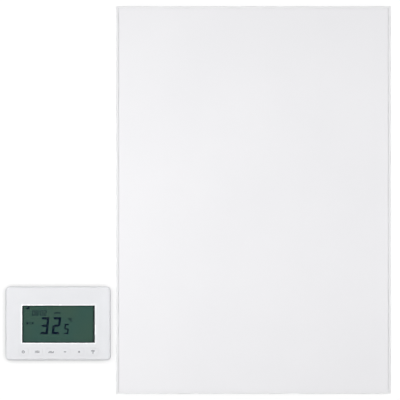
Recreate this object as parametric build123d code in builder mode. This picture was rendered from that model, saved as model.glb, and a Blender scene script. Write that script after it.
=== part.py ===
from build123d import *
import os

os.makedirs("parts", exist_ok=True)

# An infrared panel heater that hangs on four wall standoffs, with its wireless
# thermostat on a wall plate beside it.  Millimetres.  X runs to the right and Z up,
# and the wall is the plane Y = 0, so a depth is a distance in front of the wall.
# The origin is the middle of the panel, on the wall.

# ------------------------------------------------------------------ panel sizes
panel_width = 422.0
panel_height = 595.0
panel_depth = 22.0
wall_gap = 24.0

frame_wall = 1.5
lip_width = 3.1
lip_round = 0.7
lip_inner_round = 0.15
ledge_reach = 10.0
ledge_thickness = 1.4
flange_reach = 13.0
flange_thickness = 1.4
mitre_gap = 0.1

plate_thickness = 1.2
plate_recess = 0.1
plate_edge_round = 0.15
side_groove = 1.3
end_gap = 0.1
tape_thickness = 0.4
tape_edge_gap = 0.3

film_thickness = 0.5
conductor_thickness = 0.6
mat_thickness = 0.8
foil_thickness = 0.3
ledge_clearance = 1.0

conductor_width = 5.0
conductor_runs = 14
conductor_margin = 14.0
bus_gap = 6.0
lead_spacing = 7.0
pad_size = 5.5

cover_thickness = 1.0
cover_inset = 0.2
cover_edge_gap = 0.5
bead_height = 1.2
bead_width = 9.0
bead_side_margin = 40.0
bead_end_margin = 60.0
bead_inset = 35.0
bead_pitch = 62.0
bead_round = 0.7

key_leg = 30.0
key_thickness = 8.0
key_play = 0.1
board_edge_gap = 0.5
board_play = 0.3

screw_shank = 2.9
screw_hole = 3.2
screw_head = 6.0
screw_head_height = 1.8
screw_reach = 7.0
screw_from_corner = 20.0
side_screw_height = 100.0
cross_length = 3.4
cross_width = 0.8
cross_depth = 0.8

# ---------------------------------------------------- wall brackets and standoffs
hang_inset_x = 71.0
hang_inset_z = 97.5
lift = 12.0
seat_gap = 0.3
standoff_width = 16.0
standoff_length = 15.0
neck_width = 7.0
neck_slack = 0.8
head_width = 14.0
head_height = 2.2
wall_screw_hole = 4.5
wall_screw_sink = 9.0
head_clearance = 0.5

bracket_sheet = 1.5
bracket_top = 36.0
bracket_foot = 12.0
bracket_length = 52.0
bracket_bend = 2.2
rivet_shank = 3.0
rivet_head = 6.0
rivet_head_height = 1.2
rivet_tail = 4.4
rivet_tail_height = 0.9
rivet_spacing = 34.0
rivet_fit = 0.1

# ------------------------------------------------------------------ terminal box
box_width = 104.0
box_height = 64.0
box_corner = 4.0
box_wall = 2.0
box_rise = 75.5
box_wall_clearance = 3.0
box_lid_thickness = 2.2
box_lid_round = 0.8
lid_lip_height = 1.5
lid_lip_width = 1.2
lid_fit = 0.3
boss_width = 7.0
boss_inset = 6.0
pilot_hole = 2.5
lid_screw_shank = 2.4
lid_screw_head = 5.0
lid_screw_reach = 9.0
lid_screw_hole = 3.0
box_rivet_head = 5.0
box_rivet_x = 20.0

gland_x = -30.0
gland_flats = 15.0
hex_corners = 1.1547
gland_thread = 12.0
gland_hex = 4.0
gland_outer_thread = 8.0
gland_wall_reach = 6.0
thread_play = 0.1
locknut_height = 3.5
cable_bore = 6.6
seal_width = 9.0
seal_length = 4.5
dome_nut_drop = 4.5
dome_hex = 8.0
dome_length = 6.0
dome_taper = 22.0
dome_mouth = 7.4
gland_bore = 8.0

lead_width = 2.4
lead_bend = 4.0
lead_grip = 3.0
lead_play = 0.3
lead_hole = 14.0
grommet_outer = 17.0
grommet_lip = 1.0
grommet_neck = 13.0
grommet_clearance = 0.5

poles = 5
block_height = 16.0
block_depth = 12.0
block_end = 1.0
wire_entry = 3.2
wire_entry_depth = 5.0
pole_screw = 3.6
pole_screw_sink = 0.8
pole_screw_height = 3.0
pole_screw_offset = 4.0

receiver_width = 28.0
receiver_height = 38.0
receiver_x = -27.0
receiver_rise = 1.0
receiver_thickness = 1.6
receiver_stand = 5.6
receiver_peg = 4.0
relay_width = 20.0
relay_height = 9.0
relay_depth = 8.4
relay_rise = 10.0
chip_size = 7.0
chip_depth = 1.2
chip_drop = 7.0

cutout_x = 20.0
cutout_rise = 20.0
cutout_width = 16.0
cutout_cap = 5.0
cutout_cap_round = 1.0
cutout_body = 10.0
cutout_body_width = 15.4
cutout_play = 0.3
blade_width = 6.3
blade_thickness = 0.8
blade_length = 12.0
blade_spacing = 8.5
blade_window_play = 2.0

earth_from_boss = 6.0
earth_stud = 4.0
earth_stud_length = 9.0
earth_nut_flats = 7.0
earth_nut_height = 3.0
washer_width = 9.0
washer_thickness = 0.8

# ------------------------------------------------------------------- thermostat
thermostat_width = 162.0
thermostat_height = 113.5
thermostat_gap = 8.0
thermostat_rise = 51.25
thermostat_depth = 29.0
thermostat_corner = 6.5
front_round = 3.0
rear_round = 2.0
front_wall = 2.0
parting_depth = 14.0
parting_gap = 0.2
rear_wall = 3.0
rear_floor = 2.0
tongue_height = 1.5
tongue_gap = 0.2

wall_plate_width = 130.0
wall_plate_height = 84.0
wall_plate_thickness = 4.0
wall_plate_corner = 4.0
wall_plate_edge = 0.8
cable_window_width = 36.0
cable_window_height = 24.0
wall_screw_spacing = 60.0
wall_slot_length = 9.0
wall_slot_width = 4.4
wall_slot_sink = 2.0
wall_slot_border = 4.6
plate_gap = 0.3

hook_spacing_x = 90.0
hook_spacing_z = 44.0
hook_width = 8.0
hook_stem = 3.0
hook_tongue = 4.0
hook_tongue_thickness = 2.0
thermostat_lift = 5.0

window_width = 110.7
window_height = 56.5
window_drop = 0.85
window_edge = 0.6
window_corner = 0.8
lens_fit = 0.25
lens_recess = 0.2
lens_flange = 3.6
lens_flange_thickness = 1.0
bezel_rim = 1.9
bezel_end_rim = 1.0
bezel_lip = 0.6
bezel_wall = 2.5
glass_margin = 1.8
glass_thickness = 1.1
glass_fit = 0.3
glass_step = 4.4
light_guide_thickness = 1.8
light_guide_border = 3.2
strip_width = 2.4
strip_end = 3.0
circuit_thickness = 1.6
circuit_width = 138.0
circuit_height = 100.0
circuit_corner = 2.0

key_count = 6
key_pitch = 21.42
key_drop = 43.6
key_width = 16.0
key_height = 11.0
key_corner = 2.5
key_gap = 0.12
key_edge = 0.1
key_flange_border = 1.0
key_flange_thickness = 1.0
key_flange_gap = 0.1
key_travel = 0.5
key_free_play = 0.1
key_stem = 3.0
switch_size = 6.0
switch_height = 3.5
plunger_width = 3.4
plunger_height = 0.3

housing_boss = 7.0
housing_boss_x = 74.5
housing_boss_z = 50.5
housing_head = 5.0
housing_head_height = 2.0
housing_sink = 4.4
housing_shank = 2.4
housing_hole = 2.9
housing_pilot = 2.6
housing_screw_length = 13.0
housing_pilot_spare = 1.0
circuit_post_x = 64.5
circuit_post_z = 20.0
circuit_post = 6.0
circuit_screw_shank = 2.0
circuit_screw_pilot = 2.2
circuit_screw_hole = 2.5
circuit_screw_head = 4.0
circuit_screw_head_height = 1.5
circuit_screw_reach = 4.0

vent_count = 5
vent_pitch = 6.0
vent_width = 2.0
vent_length = 5.0
vent_offset = 50.0

cell_width = 10.5
cell_length = 44.5
cell_nub_width = 3.8
cell_nub = 1.0
cell_gap = 0.4
cell_round = 0.6
battery_drop = 41.0
pocket_width = 50.0
pocket_height = 22.0
pocket_depth = 11.0
pocket_wall = 1.2
contact_thickness = 0.5
contact_gap = 0.1
contact_leaf = 4.4
contact_height = 9.0
contact_depth = 10.0
leaf_gap = 0.3
lid_width = 58.0
lid_height = 30.5
lid_thickness = 1.3
lid_play = 0.2
lid_side_play = 0.3
lid_tongue = 1.2
lid_tongue_thickness = 0.7
lid_end_inset = 0.1
lid_end_round = 1.0
groove_lip = 0.6
pad_border = 2.5
pad_thickness = 1.7
grip_count = 3
grip_pitch = 3.0
grip_length = 20.0
grip_width = 1.2
grip_depth = 0.5
grip_first = 4.5

radio_x = 36.0
radio_z = 42.0
radio_width = 22.0
radio_height = 13.0
radio_board = 0.8
radio_can_border = 2.0
radio_can = 2.0
sensor_x = -64.5
sensor_z = -34.5
sensor_width = 2.4
sensor_rise = 2.5
sensor_leg = 0.6
sensor_leg_spacing = 1.4

# ------------------------------------------------------------- depths of the panel
frame_back = wall_gap
frame_front = wall_gap + panel_depth
plate_front = frame_front - plate_recess
plate_back = plate_front - plate_thickness
ledge_front = plate_back - tape_thickness
ledge_back = ledge_front - ledge_thickness
film_back = plate_back - film_thickness
conductor_back = film_back - conductor_thickness
mat_back = conductor_back - mat_thickness
foil_back = mat_back - foil_thickness
cover_back = frame_back + cover_inset
cover_front = cover_back + cover_thickness
flange_front = cover_front + flange_thickness
board_back = flange_front + board_play

plate_width = panel_width - 2 * (lip_width + side_groove)
plate_height = panel_height - 2 * (lip_width + end_gap)
opening_width = panel_width - 2 * ledge_reach
opening_height = panel_height - 2 * ledge_reach
layer_width = opening_width - 2 * ledge_clearance
layer_height = opening_height - 2 * ledge_clearance
cover_width = panel_width - 2 * (frame_wall + cover_edge_gap)
cover_height = panel_height - 2 * (frame_wall + cover_edge_gap)
board_width = panel_width - 2 * (frame_wall + board_edge_gap)
board_height = panel_height - 2 * (frame_wall + board_edge_gap)

# Screws through the cover: two into each corner key, the others into the flange.
screw_inset = frame_wall + key_play + key_thickness / 2
corner_screws = []
corners = [(side, end) for side in (-1, 1) for end in (-1, 1)]
for side, end in corners:
    corner_x = side * panel_width / 2
    corner_z = end * panel_height / 2
    corner_screws.append((corner_x - side * screw_from_corner, corner_z - end * screw_inset))
    corner_screws.append((corner_x - side * screw_inset, corner_z - end * screw_from_corner))
side_screws = [
    (side * (panel_width / 2 - screw_inset), end * side_screw_height) for side, end in corners
]
side_screws += [(0, end * (panel_height / 2 - screw_inset)) for end in (-1, 1)]
cover_screw_spots = corner_screws + side_screws

# Standoffs and brackets stand in from the panel's edges; the beads lie between them.
hang_spacing_x = panel_width - 2 * hang_inset_x
hang_spacing_z = panel_height - 2 * hang_inset_z
hang_spots = [(side * hang_spacing_x / 2, end * hang_spacing_z / 2) for side, end in corners]
bead_frame_width = hang_spacing_x - 2 * bead_side_margin
bead_frame_height = hang_spacing_z - 2 * bead_end_margin
bead_length = bead_frame_width - 2 * bead_inset

# Terminal box and what stands in it.
box_back = box_wall_clearance
box_rim = box_back + box_lid_thickness
box_floor = cover_back - box_wall
box_centre_z = box_rise - panel_height / 2
box_bottom = box_centre_z - box_height / 2
boss_x = box_width / 2 - boss_inset
boss_z = box_height / 2 - boss_inset
box_bosses = [(side * boss_x, box_centre_z + end * boss_z) for side, end in corners]
box_rivet_spots = [
    (-boss_x, box_centre_z),
    (boss_x, box_centre_z),
    (0, box_centre_z + boss_z),
    (box_rivet_x, box_centre_z - boss_z),
]
block_centre_z = box_centre_z
lead_z = box_bottom + box_wall + grommet_clearance + grommet_outer / 2
receiver_z = box_centre_z + receiver_rise
relay_z = receiver_z + relay_rise
chip_z = receiver_z - chip_drop
cutout_z = box_centre_z + cutout_rise
earth_x = boss_x - earth_from_boss
earth_z = box_centre_z + boss_z - earth_from_boss
gland_depth = (box_rim + box_floor) / 2
lead_spots = [(-lead_spacing / 2, lead_z), (lead_spacing / 2, lead_z)]
receiver_front = box_floor - receiver_stand
receiver_back = receiver_front - receiver_thickness
blade_window = (
    blade_spacing + blade_thickness + blade_window_play,
    blade_width + blade_window_play,
)
cutout_body_front = foil_back - cutout_cap
cutout_body_back = cutout_body_front - cutout_body

bracket_back = standoff_length + seat_gap
bracket_front = bracket_back + bracket_sheet
neck_length = seat_gap + bracket_sheet + neck_slack
foot_back = cover_back - bracket_sheet
rivet_x = (bracket_top + bracket_foot) / 2

# --------------------------------------------------------- depths of the thermostat
thermostat_x = -panel_width / 2 - thermostat_gap - thermostat_width / 2
thermostat_z = -panel_height / 2 + thermostat_rise + thermostat_height / 2
rear_back = wall_plate_thickness + plate_gap
rear_inside = rear_back + rear_floor
rear_rim = parting_depth - parting_gap
front_inside = thermostat_depth - front_wall
lens_back = front_inside - lens_flange_thickness
bezel_front = lens_back
glass_front = bezel_front - bezel_lip
glass_back = glass_front - 2 * glass_thickness
guide_back = glass_back - light_guide_thickness
circuit_front = guide_back - bezel_lip
circuit_back = circuit_front - circuit_thickness
lid_back = rear_back + lid_play
lid_front = lid_back + lid_thickness
pocket_mouth = lid_front + lid_play
pocket_end = pocket_mouth + pocket_depth
cell_depth = (pocket_mouth + pocket_end) / 2
lid_bottom = -thermostat_height / 2 + lid_end_inset
lid_top = lid_bottom + lid_height
lid_centre_z = (lid_bottom + lid_top) / 2

key_spots = [((slot - (key_count - 1) / 2) * key_pitch, -key_drop) for slot in range(key_count)]
key_flange_front = front_inside - key_flange_gap
key_flange_back = key_flange_front - key_flange_thickness
switch_top = circuit_front + switch_height + plunger_height
key_stem_back = switch_top + key_travel + key_free_play
hook_spots = [(side * hook_spacing_x / 2, end * hook_spacing_z / 2) for side, end in corners]
housing_spots = [(side * housing_boss_x, end * housing_boss_z) for side, end in corners]
post_spots = [(side * circuit_post_x, end * circuit_post_z) for side, end in corners]
wall_slot_spots = [(-wall_screw_spacing / 2, 0), (wall_screw_spacing / 2, 0)]
cell_rise = (cell_width + cell_gap) / 2


# ------------------------------------------------------------- repeated profiles
def at_depth(depth):
    """The plane that faces the room at this depth, centred on the panel."""
    return Plane(origin=(0, -depth, 0), x_dir=(1, 0, 0), z_dir=(0, -1, 0))


def on_thermostat(depth):
    """The plane that faces the room at this depth, centred on the thermostat."""
    return Plane(origin=(thermostat_x, -depth, thermostat_z), x_dir=(1, 0, 0), z_dir=(0, -1, 0))


def discs(plane, width, spots):
    """Round faces of one width."""
    with BuildSketch(plane) as faces:
        with Locations(*spots):
            Circle(width / 2)
    return faces.sketch


def bars(plane, width, height, spots=((0, 0),)):
    """Rectangular faces of one size."""
    with BuildSketch(plane) as faces:
        with Locations(*spots):
            Rectangle(width, height)
    return faces.sketch


def tiles(plane, width, height, corner, spots=((0, 0),)):
    """Rectangular faces with rounded corners."""
    with BuildSketch(plane) as faces:
        with Locations(*spots):
            RectangleRounded(width, height, corner)
    return faces.sketch


def slots(plane, length, width, spots=((0, 0),)):
    """Faces with two half-round ends."""
    with BuildSketch(plane) as faces:
        with Locations(*spots):
            SlotOverall(length, width)
    return faces.sketch


def crosses(plane, spots):
    """The cross recesses of small screws."""
    with BuildSketch(plane) as faces:
        with Locations(*spots):
            Rectangle(cross_length, cross_width)
            Rectangle(cross_width, cross_length)
    return faces.sketch


# ---------------------------------------------------------------------- the frame
def frame_bar(length, face):
    """One mitred bar of the frame, under the middle of the panel, outer face down.

    Its section is an outer wall with a front lip, a ledge that carries the plate
    and a rear flange that carries the cover.
    """
    with BuildPart() as bar:
        with BuildSketch(Plane.YZ) as section:
            with BuildLine():
                Polyline(
                    (-frame_back, -face),
                    (-frame_front, -face),
                    (-frame_front, lip_width - face),
                    (-ledge_front, lip_width - face),
                    (-ledge_front, ledge_reach - face),
                    (-ledge_back, ledge_reach - face),
                    (-ledge_back, frame_wall - face),
                    (-flange_front, frame_wall - face),
                    (-flange_front, flange_reach - face),
                    (-cover_front, flange_reach - face),
                    (-cover_front, frame_wall - face),
                    (-frame_back, frame_wall - face),
                    close=True,
                )
            make_face()
            lip = section.vertices().group_by(Axis.X)[0].sort_by(Axis.Y)
            fillet(lip[0], lip_round)
            fillet(lip[1], lip_inner_round)
        extrude(amount=length / 2, both=True)
        for side in (-1, 1):
            mitre = Plane(
                origin=(side * (length - mitre_gap) / 2, 0, -face),
                z_dir=(side, 0, 1),
            )
            split(bisect_by=mitre, keep=Keep.BOTTOM)
    return bar.part


def placed_bar(length, face, turn):
    """A frame bar turned about the panel's middle, with its cover screw holes."""
    with BuildPart() as bar:
        add(frame_bar(length, face).rotate(Axis.Y, turn))
        extrude(
            discs(at_depth(cover_front), screw_hole, cover_screw_spots),
            amount=flange_thickness,
            mode=Mode.SUBTRACT,
        )
    return bar


frame_bottom = placed_bar(panel_width, panel_height / 2, 0)
frame_bottom.part.label = "frame_bottom"
export_step(frame_bottom.part, "parts/frame_bottom.step")

frame_left = placed_bar(panel_height, panel_width / 2, 90)
frame_left.part.label = "frame_left"
export_step(frame_left.part, "parts/frame_left.step")

frame_top = placed_bar(panel_width, panel_height / 2, 180)
frame_top.part.label = "frame_top"
export_step(frame_top.part, "parts/frame_top.step")

frame_right = placed_bar(panel_height, panel_width / 2, 270)
frame_right.part.label = "frame_right"
export_step(frame_right.part, "parts/frame_right.step")

# Angle pieces that join the bars at the mitres, inside the frame's channel.
with BuildPart() as corner_keys:
    leg_outer = frame_wall + key_play
    leg_middle = (leg_outer + key_leg) / 2
    with BuildSketch(at_depth(flange_front + key_play)):
        for side, end in corners:
            corner_x = side * panel_width / 2
            corner_z = end * panel_height / 2
            with Locations((corner_x - side * leg_middle, corner_z - end * screw_inset)):
                Rectangle(key_leg - leg_outer, key_thickness)
            with Locations((corner_x - side * screw_inset, corner_z - end * leg_middle)):
                Rectangle(key_thickness, key_leg - leg_outer)
    extrude(amount=ledge_back - flange_front - 2 * key_play)
    extrude(
        discs(at_depth(flange_front), screw_shank + rivet_fit, corner_screws),
        amount=screw_reach,
        mode=Mode.SUBTRACT,
    )
corner_keys.part.label = "corner_keys"
export_step(corner_keys.part, "parts/corner_keys.step")

# ------------------------------------------------------- the heating plate's stack
with BuildPart() as front_plate:
    with BuildSketch(at_depth(plate_back)):
        Rectangle(plate_width, plate_height)
    extrude(amount=plate_thickness)
    fillet(front_plate.faces().sort_by(Axis.Y)[0].edges(), plate_edge_round)
front_plate.part.label = "front_plate"
export_step(front_plate.part, "parts/front_plate.step")

with BuildPart() as plate_tape:
    with BuildSketch(at_depth(ledge_front)):
        Rectangle(plate_width - 2 * tape_edge_gap, plate_height - 2 * tape_edge_gap)
        Rectangle(
            opening_width + 2 * tape_edge_gap,
            opening_height + 2 * tape_edge_gap,
            mode=Mode.SUBTRACT,
        )
    extrude(amount=tape_thickness)
plate_tape.part.label = "plate_tape"
export_step(plate_tape.part, "parts/plate_tape.step")

with BuildPart() as insulating_film:
    with BuildSketch(at_depth(film_back)):
        Rectangle(layer_width, layer_height)
    extrude(amount=film_thickness)
insulating_film.part.label = "insulating_film"
export_step(insulating_film.part, "parts/insulating_film.step")

# One long conductor: upright runs joined in turn at the top and the bottom, with
# both ends brought along the bottom edge to two pads over the terminal box.
run_reach = layer_width / 2 - conductor_margin
run_pitch = 2 * run_reach / (conductor_runs - 1)
run_top = layer_height / 2 - conductor_margin
bus_z = -run_top
run_bottom = bus_z + bus_gap + conductor_width
with BuildPart() as heating_conductor:
    with BuildSketch(at_depth(conductor_back)):
        for run in range(conductor_runs):
            run_x = -run_reach + run * run_pitch
            outermost = run in (0, conductor_runs - 1)
            foot = bus_z if outermost else run_bottom
            with Locations((run_x, (run_top + foot) / 2)):
                Rectangle(conductor_width, run_top - foot + conductor_width)
        for turn in range(conductor_runs - 1):
            turn_x = -run_reach + (turn + 0.5) * run_pitch
            turn_z = run_top if turn % 2 == 0 else run_bottom
            with Locations((turn_x, turn_z)):
                Rectangle(run_pitch + conductor_width, conductor_width)
        for side in (-1, 1):
            pad_x = side * lead_spacing / 2
            bus_length = run_reach - lead_spacing / 2 + conductor_width
            with Locations((side * (run_reach + lead_spacing / 2) / 2, bus_z)):
                Rectangle(bus_length, conductor_width)
            with Locations((pad_x, (bus_z + lead_z) / 2)):
                Rectangle(conductor_width, lead_z - bus_z + conductor_width)
            with Locations((pad_x, lead_z)):
                Rectangle(pad_size, pad_size)
    extrude(amount=conductor_thickness)
heating_conductor.part.label = "heating_conductor"
export_step(heating_conductor.part, "parts/heating_conductor.step")

with BuildPart() as carrier_mat:
    with BuildSketch(at_depth(mat_back)):
        Rectangle(layer_width, layer_height)
    extrude(amount=mat_thickness)
    extrude(
        discs(at_depth(mat_back), lead_width + 2 * lid_fit, lead_spots),
        amount=mat_thickness,
        mode=Mode.SUBTRACT,
    )
carrier_mat.part.label = "carrier_mat"
export_step(carrier_mat.part, "parts/carrier_mat.step")

with BuildPart() as reflector_foil:
    with BuildSketch(at_depth(foil_back)):
        Rectangle(layer_width, layer_height)
    extrude(amount=foil_thickness)
    extrude(
        discs(at_depth(foil_back), lead_hole, [(0, lead_z)]),
        amount=foil_thickness,
        mode=Mode.SUBTRACT,
    )
reflector_foil.part.label = "reflector_foil"
export_step(reflector_foil.part, "parts/reflector_foil.step")

# Mineral board behind the element, cut away round the corner keys, the leads, the
# thermal cut-out and the ends of the cover screws and rivets.
with BuildPart() as insulation_board:
    with BuildSketch(at_depth(board_back)):
        Rectangle(board_width, board_height)
        with Locations(*[(side * board_width / 2, end * board_height / 2) for side, end in corners]):
            Rectangle(2 * key_leg, 2 * key_leg, mode=Mode.SUBTRACT)
    extrude(amount=foil_back - board_back)
    extrude(
        discs(at_depth(board_back), lead_hole, [(0, lead_z)]),
        amount=foil_back - board_back,
        mode=Mode.SUBTRACT,
    )
    extrude(
        discs(at_depth(board_back), cutout_width + 2 * cutout_play, [(cutout_x, cutout_z)]),
        amount=foil_back - board_back,
        mode=Mode.SUBTRACT,
    )
    extrude(
        discs(at_depth(board_back), screw_hole, side_screws),
        amount=screw_reach,
        mode=Mode.SUBTRACT,
    )
insulation_board.part.label = "insulation_board"
export_step(insulation_board.part, "parts/insulation_board.step")

# ------------------------------------------------------------------ the rear cover
bracket_rivet_spots = [
    (x + side * rivet_x, z - lift / 2 + end * rivet_spacing / 2)
    for x, z in hang_spots
    for side, end in corners
]
with BuildPart() as rear_cover:
    with BuildSketch(at_depth(cover_back)):
        Rectangle(cover_width, cover_height)
    extrude(amount=cover_thickness)
    # Pressed stiffening beads stand out at the back and are hollow at the front.
    for depth, sink, mode in (
        (cover_back - bead_height, 0, Mode.ADD),
        (cover_back - bead_height + cover_thickness, cover_thickness, Mode.SUBTRACT),
    ):
        with BuildSketch(at_depth(depth)):
            RectangleRounded(
                bead_frame_width + bead_width - 2 * sink,
                bead_frame_height + bead_width - 2 * sink,
                bead_width * 2 - sink,
            )
            RectangleRounded(
                bead_frame_width - bead_width + 2 * sink,
                bead_frame_height - bead_width + 2 * sink,
                bead_width + sink,
                mode=Mode.SUBTRACT,
            )
            with Locations(*[(0, step * bead_pitch) for step in (-1, 0, 1)]):
                SlotOverall(bead_length - 2 * sink, bead_width - 2 * sink)
        extrude(amount=bead_height, mode=mode)
    ridges = rear_cover.faces().filter_by(Plane.XZ).sort_by(Axis.Y)[-4:]
    fillet(ridges.edges(), bead_round)
    extrude(
        discs(at_depth(cover_back), screw_hole, cover_screw_spots),
        amount=cover_thickness,
        mode=Mode.SUBTRACT,
    )
    extrude(
        discs(
            at_depth(cover_back),
            rivet_shank + 2 * rivet_fit,
            bracket_rivet_spots + box_rivet_spots,
        ),
        amount=cover_thickness,
        mode=Mode.SUBTRACT,
    )
    extrude(
        discs(at_depth(cover_back), grommet_neck + 2 * rivet_fit, [(0, lead_z)]),
        amount=cover_thickness,
        mode=Mode.SUBTRACT,
    )
    extrude(
        bars(at_depth(cover_back), *blade_window, [(cutout_x, cutout_z)]),
        amount=cover_thickness,
        mode=Mode.SUBTRACT,
    )
rear_cover.part.label = "rear_cover"
export_step(rear_cover.part, "parts/rear_cover.step")

# Pan-head screws with cross recesses.
with BuildPart() as cover_screws:
    head_back = cover_back - screw_head_height
    extrude(discs(at_depth(head_back), screw_head, cover_screw_spots), amount=screw_head_height)
    chamfer(
        cover_screws.edges().filter_by(GeomType.CIRCLE).group_by(Axis.Y)[-1],
        screw_head_height / 2,
    )
    extrude(discs(at_depth(cover_back), screw_shank, cover_screw_spots), amount=screw_reach)
    extrude(
        crosses(at_depth(head_back), cover_screw_spots),
        amount=cross_depth,
        mode=Mode.SUBTRACT,
    )
cover_screws.part.label = "cover_screws"
export_step(cover_screws.part, "parts/cover_screws.step")

# ------------------------------------------------------- wall brackets and standoffs
# A bent top-hat bracket: two feet riveted to the cover and a raised web with the
# keyhole, whose wide end passes the standoff's head when the panel is lifted.
with BuildPart() as bracket:
    half_top = bracket_top / 2
    half_foot = half_top + bracket_foot
    with BuildSketch(Plane.XY.offset(-lift / 2 - bracket_length / 2)) as hat:
        with BuildLine():
            Polyline(
                (-half_foot, -cover_back),
                (-half_foot, -foot_back),
                (-half_top, -foot_back),
                (-half_top, -bracket_back),
                (half_top, -bracket_back),
                (half_top, -foot_back),
                (half_foot, -foot_back),
                (half_foot, -cover_back),
                (half_top - bracket_sheet, -cover_back),
                (half_top - bracket_sheet, -bracket_front),
                (bracket_sheet - half_top, -bracket_front),
                (bracket_sheet - half_top, -cover_back),
                close=True,
            )
        make_face()
        bends = hat.vertices().group_by(Axis.Y)
        fillet(bends[-1], bracket_bend)
        fillet(bends[-2], bracket_bend - bracket_sheet)
    extrude(amount=bracket_length)
    with BuildSketch(at_depth(bracket_back)):
        Circle(neck_width / 2 + seat_gap)
        with Locations((0, -lift / 2)):
            Rectangle(neck_width + 2 * seat_gap, lift)
        with Locations((0, -lift)):
            Circle(head_width / 2 + head_clearance)
    extrude(amount=bracket_sheet, mode=Mode.SUBTRACT)
    with BuildSketch(at_depth(foot_back)):
        with Locations((0, -lift / 2)):
            with GridLocations(2 * rivet_x, rivet_spacing, 2, 2):
                Circle(rivet_shank / 2 + rivet_fit)
    extrude(amount=bracket_sheet, mode=Mode.SUBTRACT)
with BuildPart() as wall_brackets:
    with Locations(*[(x, 0, z) for x, z in hang_spots]):
        add(bracket.part)
wall_brackets.part.label = "wall_brackets"
export_step(wall_brackets.part, "parts/wall_brackets.step")

# Blind rivets through the feet and the cover.
with BuildPart() as bracket_rivets:
    extrude(
        discs(at_depth(foot_back - rivet_head_height), rivet_head, bracket_rivet_spots),
        amount=rivet_head_height,
    )
    chamfer(
        bracket_rivets.edges().filter_by(GeomType.CIRCLE).group_by(Axis.Y)[-1],
        rivet_head_height / 2,
    )
    extrude(
        discs(at_depth(foot_back), rivet_shank, bracket_rivet_spots),
        amount=cover_front - foot_back,
    )
    extrude(
        discs(at_depth(cover_front), rivet_tail, bracket_rivet_spots),
        amount=rivet_tail_height,
    )
bracket_rivets.part.label = "bracket_rivets"
export_step(bracket_rivets.part, "parts/bracket_rivets.step")

# Turned standoffs, screwed to the wall through their middles.
with BuildPart() as standoff:
    neck_end = standoff_length + neck_length
    head_end = neck_end + head_height
    sink_depth = (wall_screw_sink - wall_screw_hole) / 2
    with BuildSketch(Plane.XY):
        with BuildLine():
            Polyline(
                (wall_screw_hole / 2, 0),
                (standoff_width / 2, 0),
                (standoff_width / 2, -standoff_length),
                (neck_width / 2, -standoff_length),
                (neck_width / 2, -neck_end),
                (head_width / 2, -neck_end),
                (head_width / 2, -head_end),
                (wall_screw_sink / 2, -head_end),
                (wall_screw_hole / 2, sink_depth - head_end),
                close=True,
            )
        make_face()
    revolve(axis=Axis.Y)
with BuildPart() as wall_standoffs:
    with Locations(*[(x, 0, z) for x, z in hang_spots]):
        add(standoff.part)
wall_standoffs.part.label = "wall_standoffs"
export_step(wall_standoffs.part, "parts/wall_standoffs.step")

# ------------------------------------------------------------------ terminal box
with BuildPart() as terminal_box:
    with BuildSketch(at_depth(box_rim)):
        with Locations((0, box_centre_z)):
            RectangleRounded(box_width, box_height, box_corner)
    extrude(amount=cover_back - box_rim)
    with BuildSketch(at_depth(box_rim)):
        with Locations((0, box_centre_z)):
            RectangleRounded(
                box_width - 2 * box_wall,
                box_height - 2 * box_wall,
                box_corner - box_wall,
            )
    extrude(amount=box_floor - box_rim, mode=Mode.SUBTRACT)
    extrude(
        discs(at_depth(box_rim + lid_fit), boss_width, box_bosses),
        amount=box_floor - box_rim - lid_fit,
    )
    extrude(
        discs(at_depth(box_rim + lid_fit), pilot_hole, box_bosses),
        amount=lid_screw_reach + lid_fit,
        mode=Mode.SUBTRACT,
    )
    extrude(
        discs(
            at_depth(receiver_front),
            receiver_peg,
            [
                (receiver_x, receiver_z + end * (receiver_height - receiver_peg) / 2)
                for end in (-1, 1)
            ],
        ),
        amount=receiver_stand,
    )
    extrude(
        discs(at_depth(box_floor), rivet_shank + 2 * rivet_fit, box_rivet_spots),
        amount=box_wall,
        mode=Mode.SUBTRACT,
    )
    extrude(
        discs(at_depth(box_floor), grommet_neck + 2 * rivet_fit, [(0, lead_z)]),
        amount=box_wall,
        mode=Mode.SUBTRACT,
    )
    extrude(
        discs(at_depth(box_floor), earth_stud + 2 * rivet_fit, [(earth_x, earth_z)]),
        amount=box_wall,
        mode=Mode.SUBTRACT,
    )
    extrude(
        bars(at_depth(box_floor), *blade_window, [(cutout_x, cutout_z)]),
        amount=box_wall,
        mode=Mode.SUBTRACT,
    )
    with BuildSketch(Plane.XY.offset(box_bottom)):
        with Locations((gland_x, -gland_depth)):
            Circle(gland_thread / 2 + thread_play)
    extrude(amount=box_wall, mode=Mode.SUBTRACT)
terminal_box.part.label = "terminal_box"
export_step(terminal_box.part, "parts/terminal_box.step")

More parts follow.
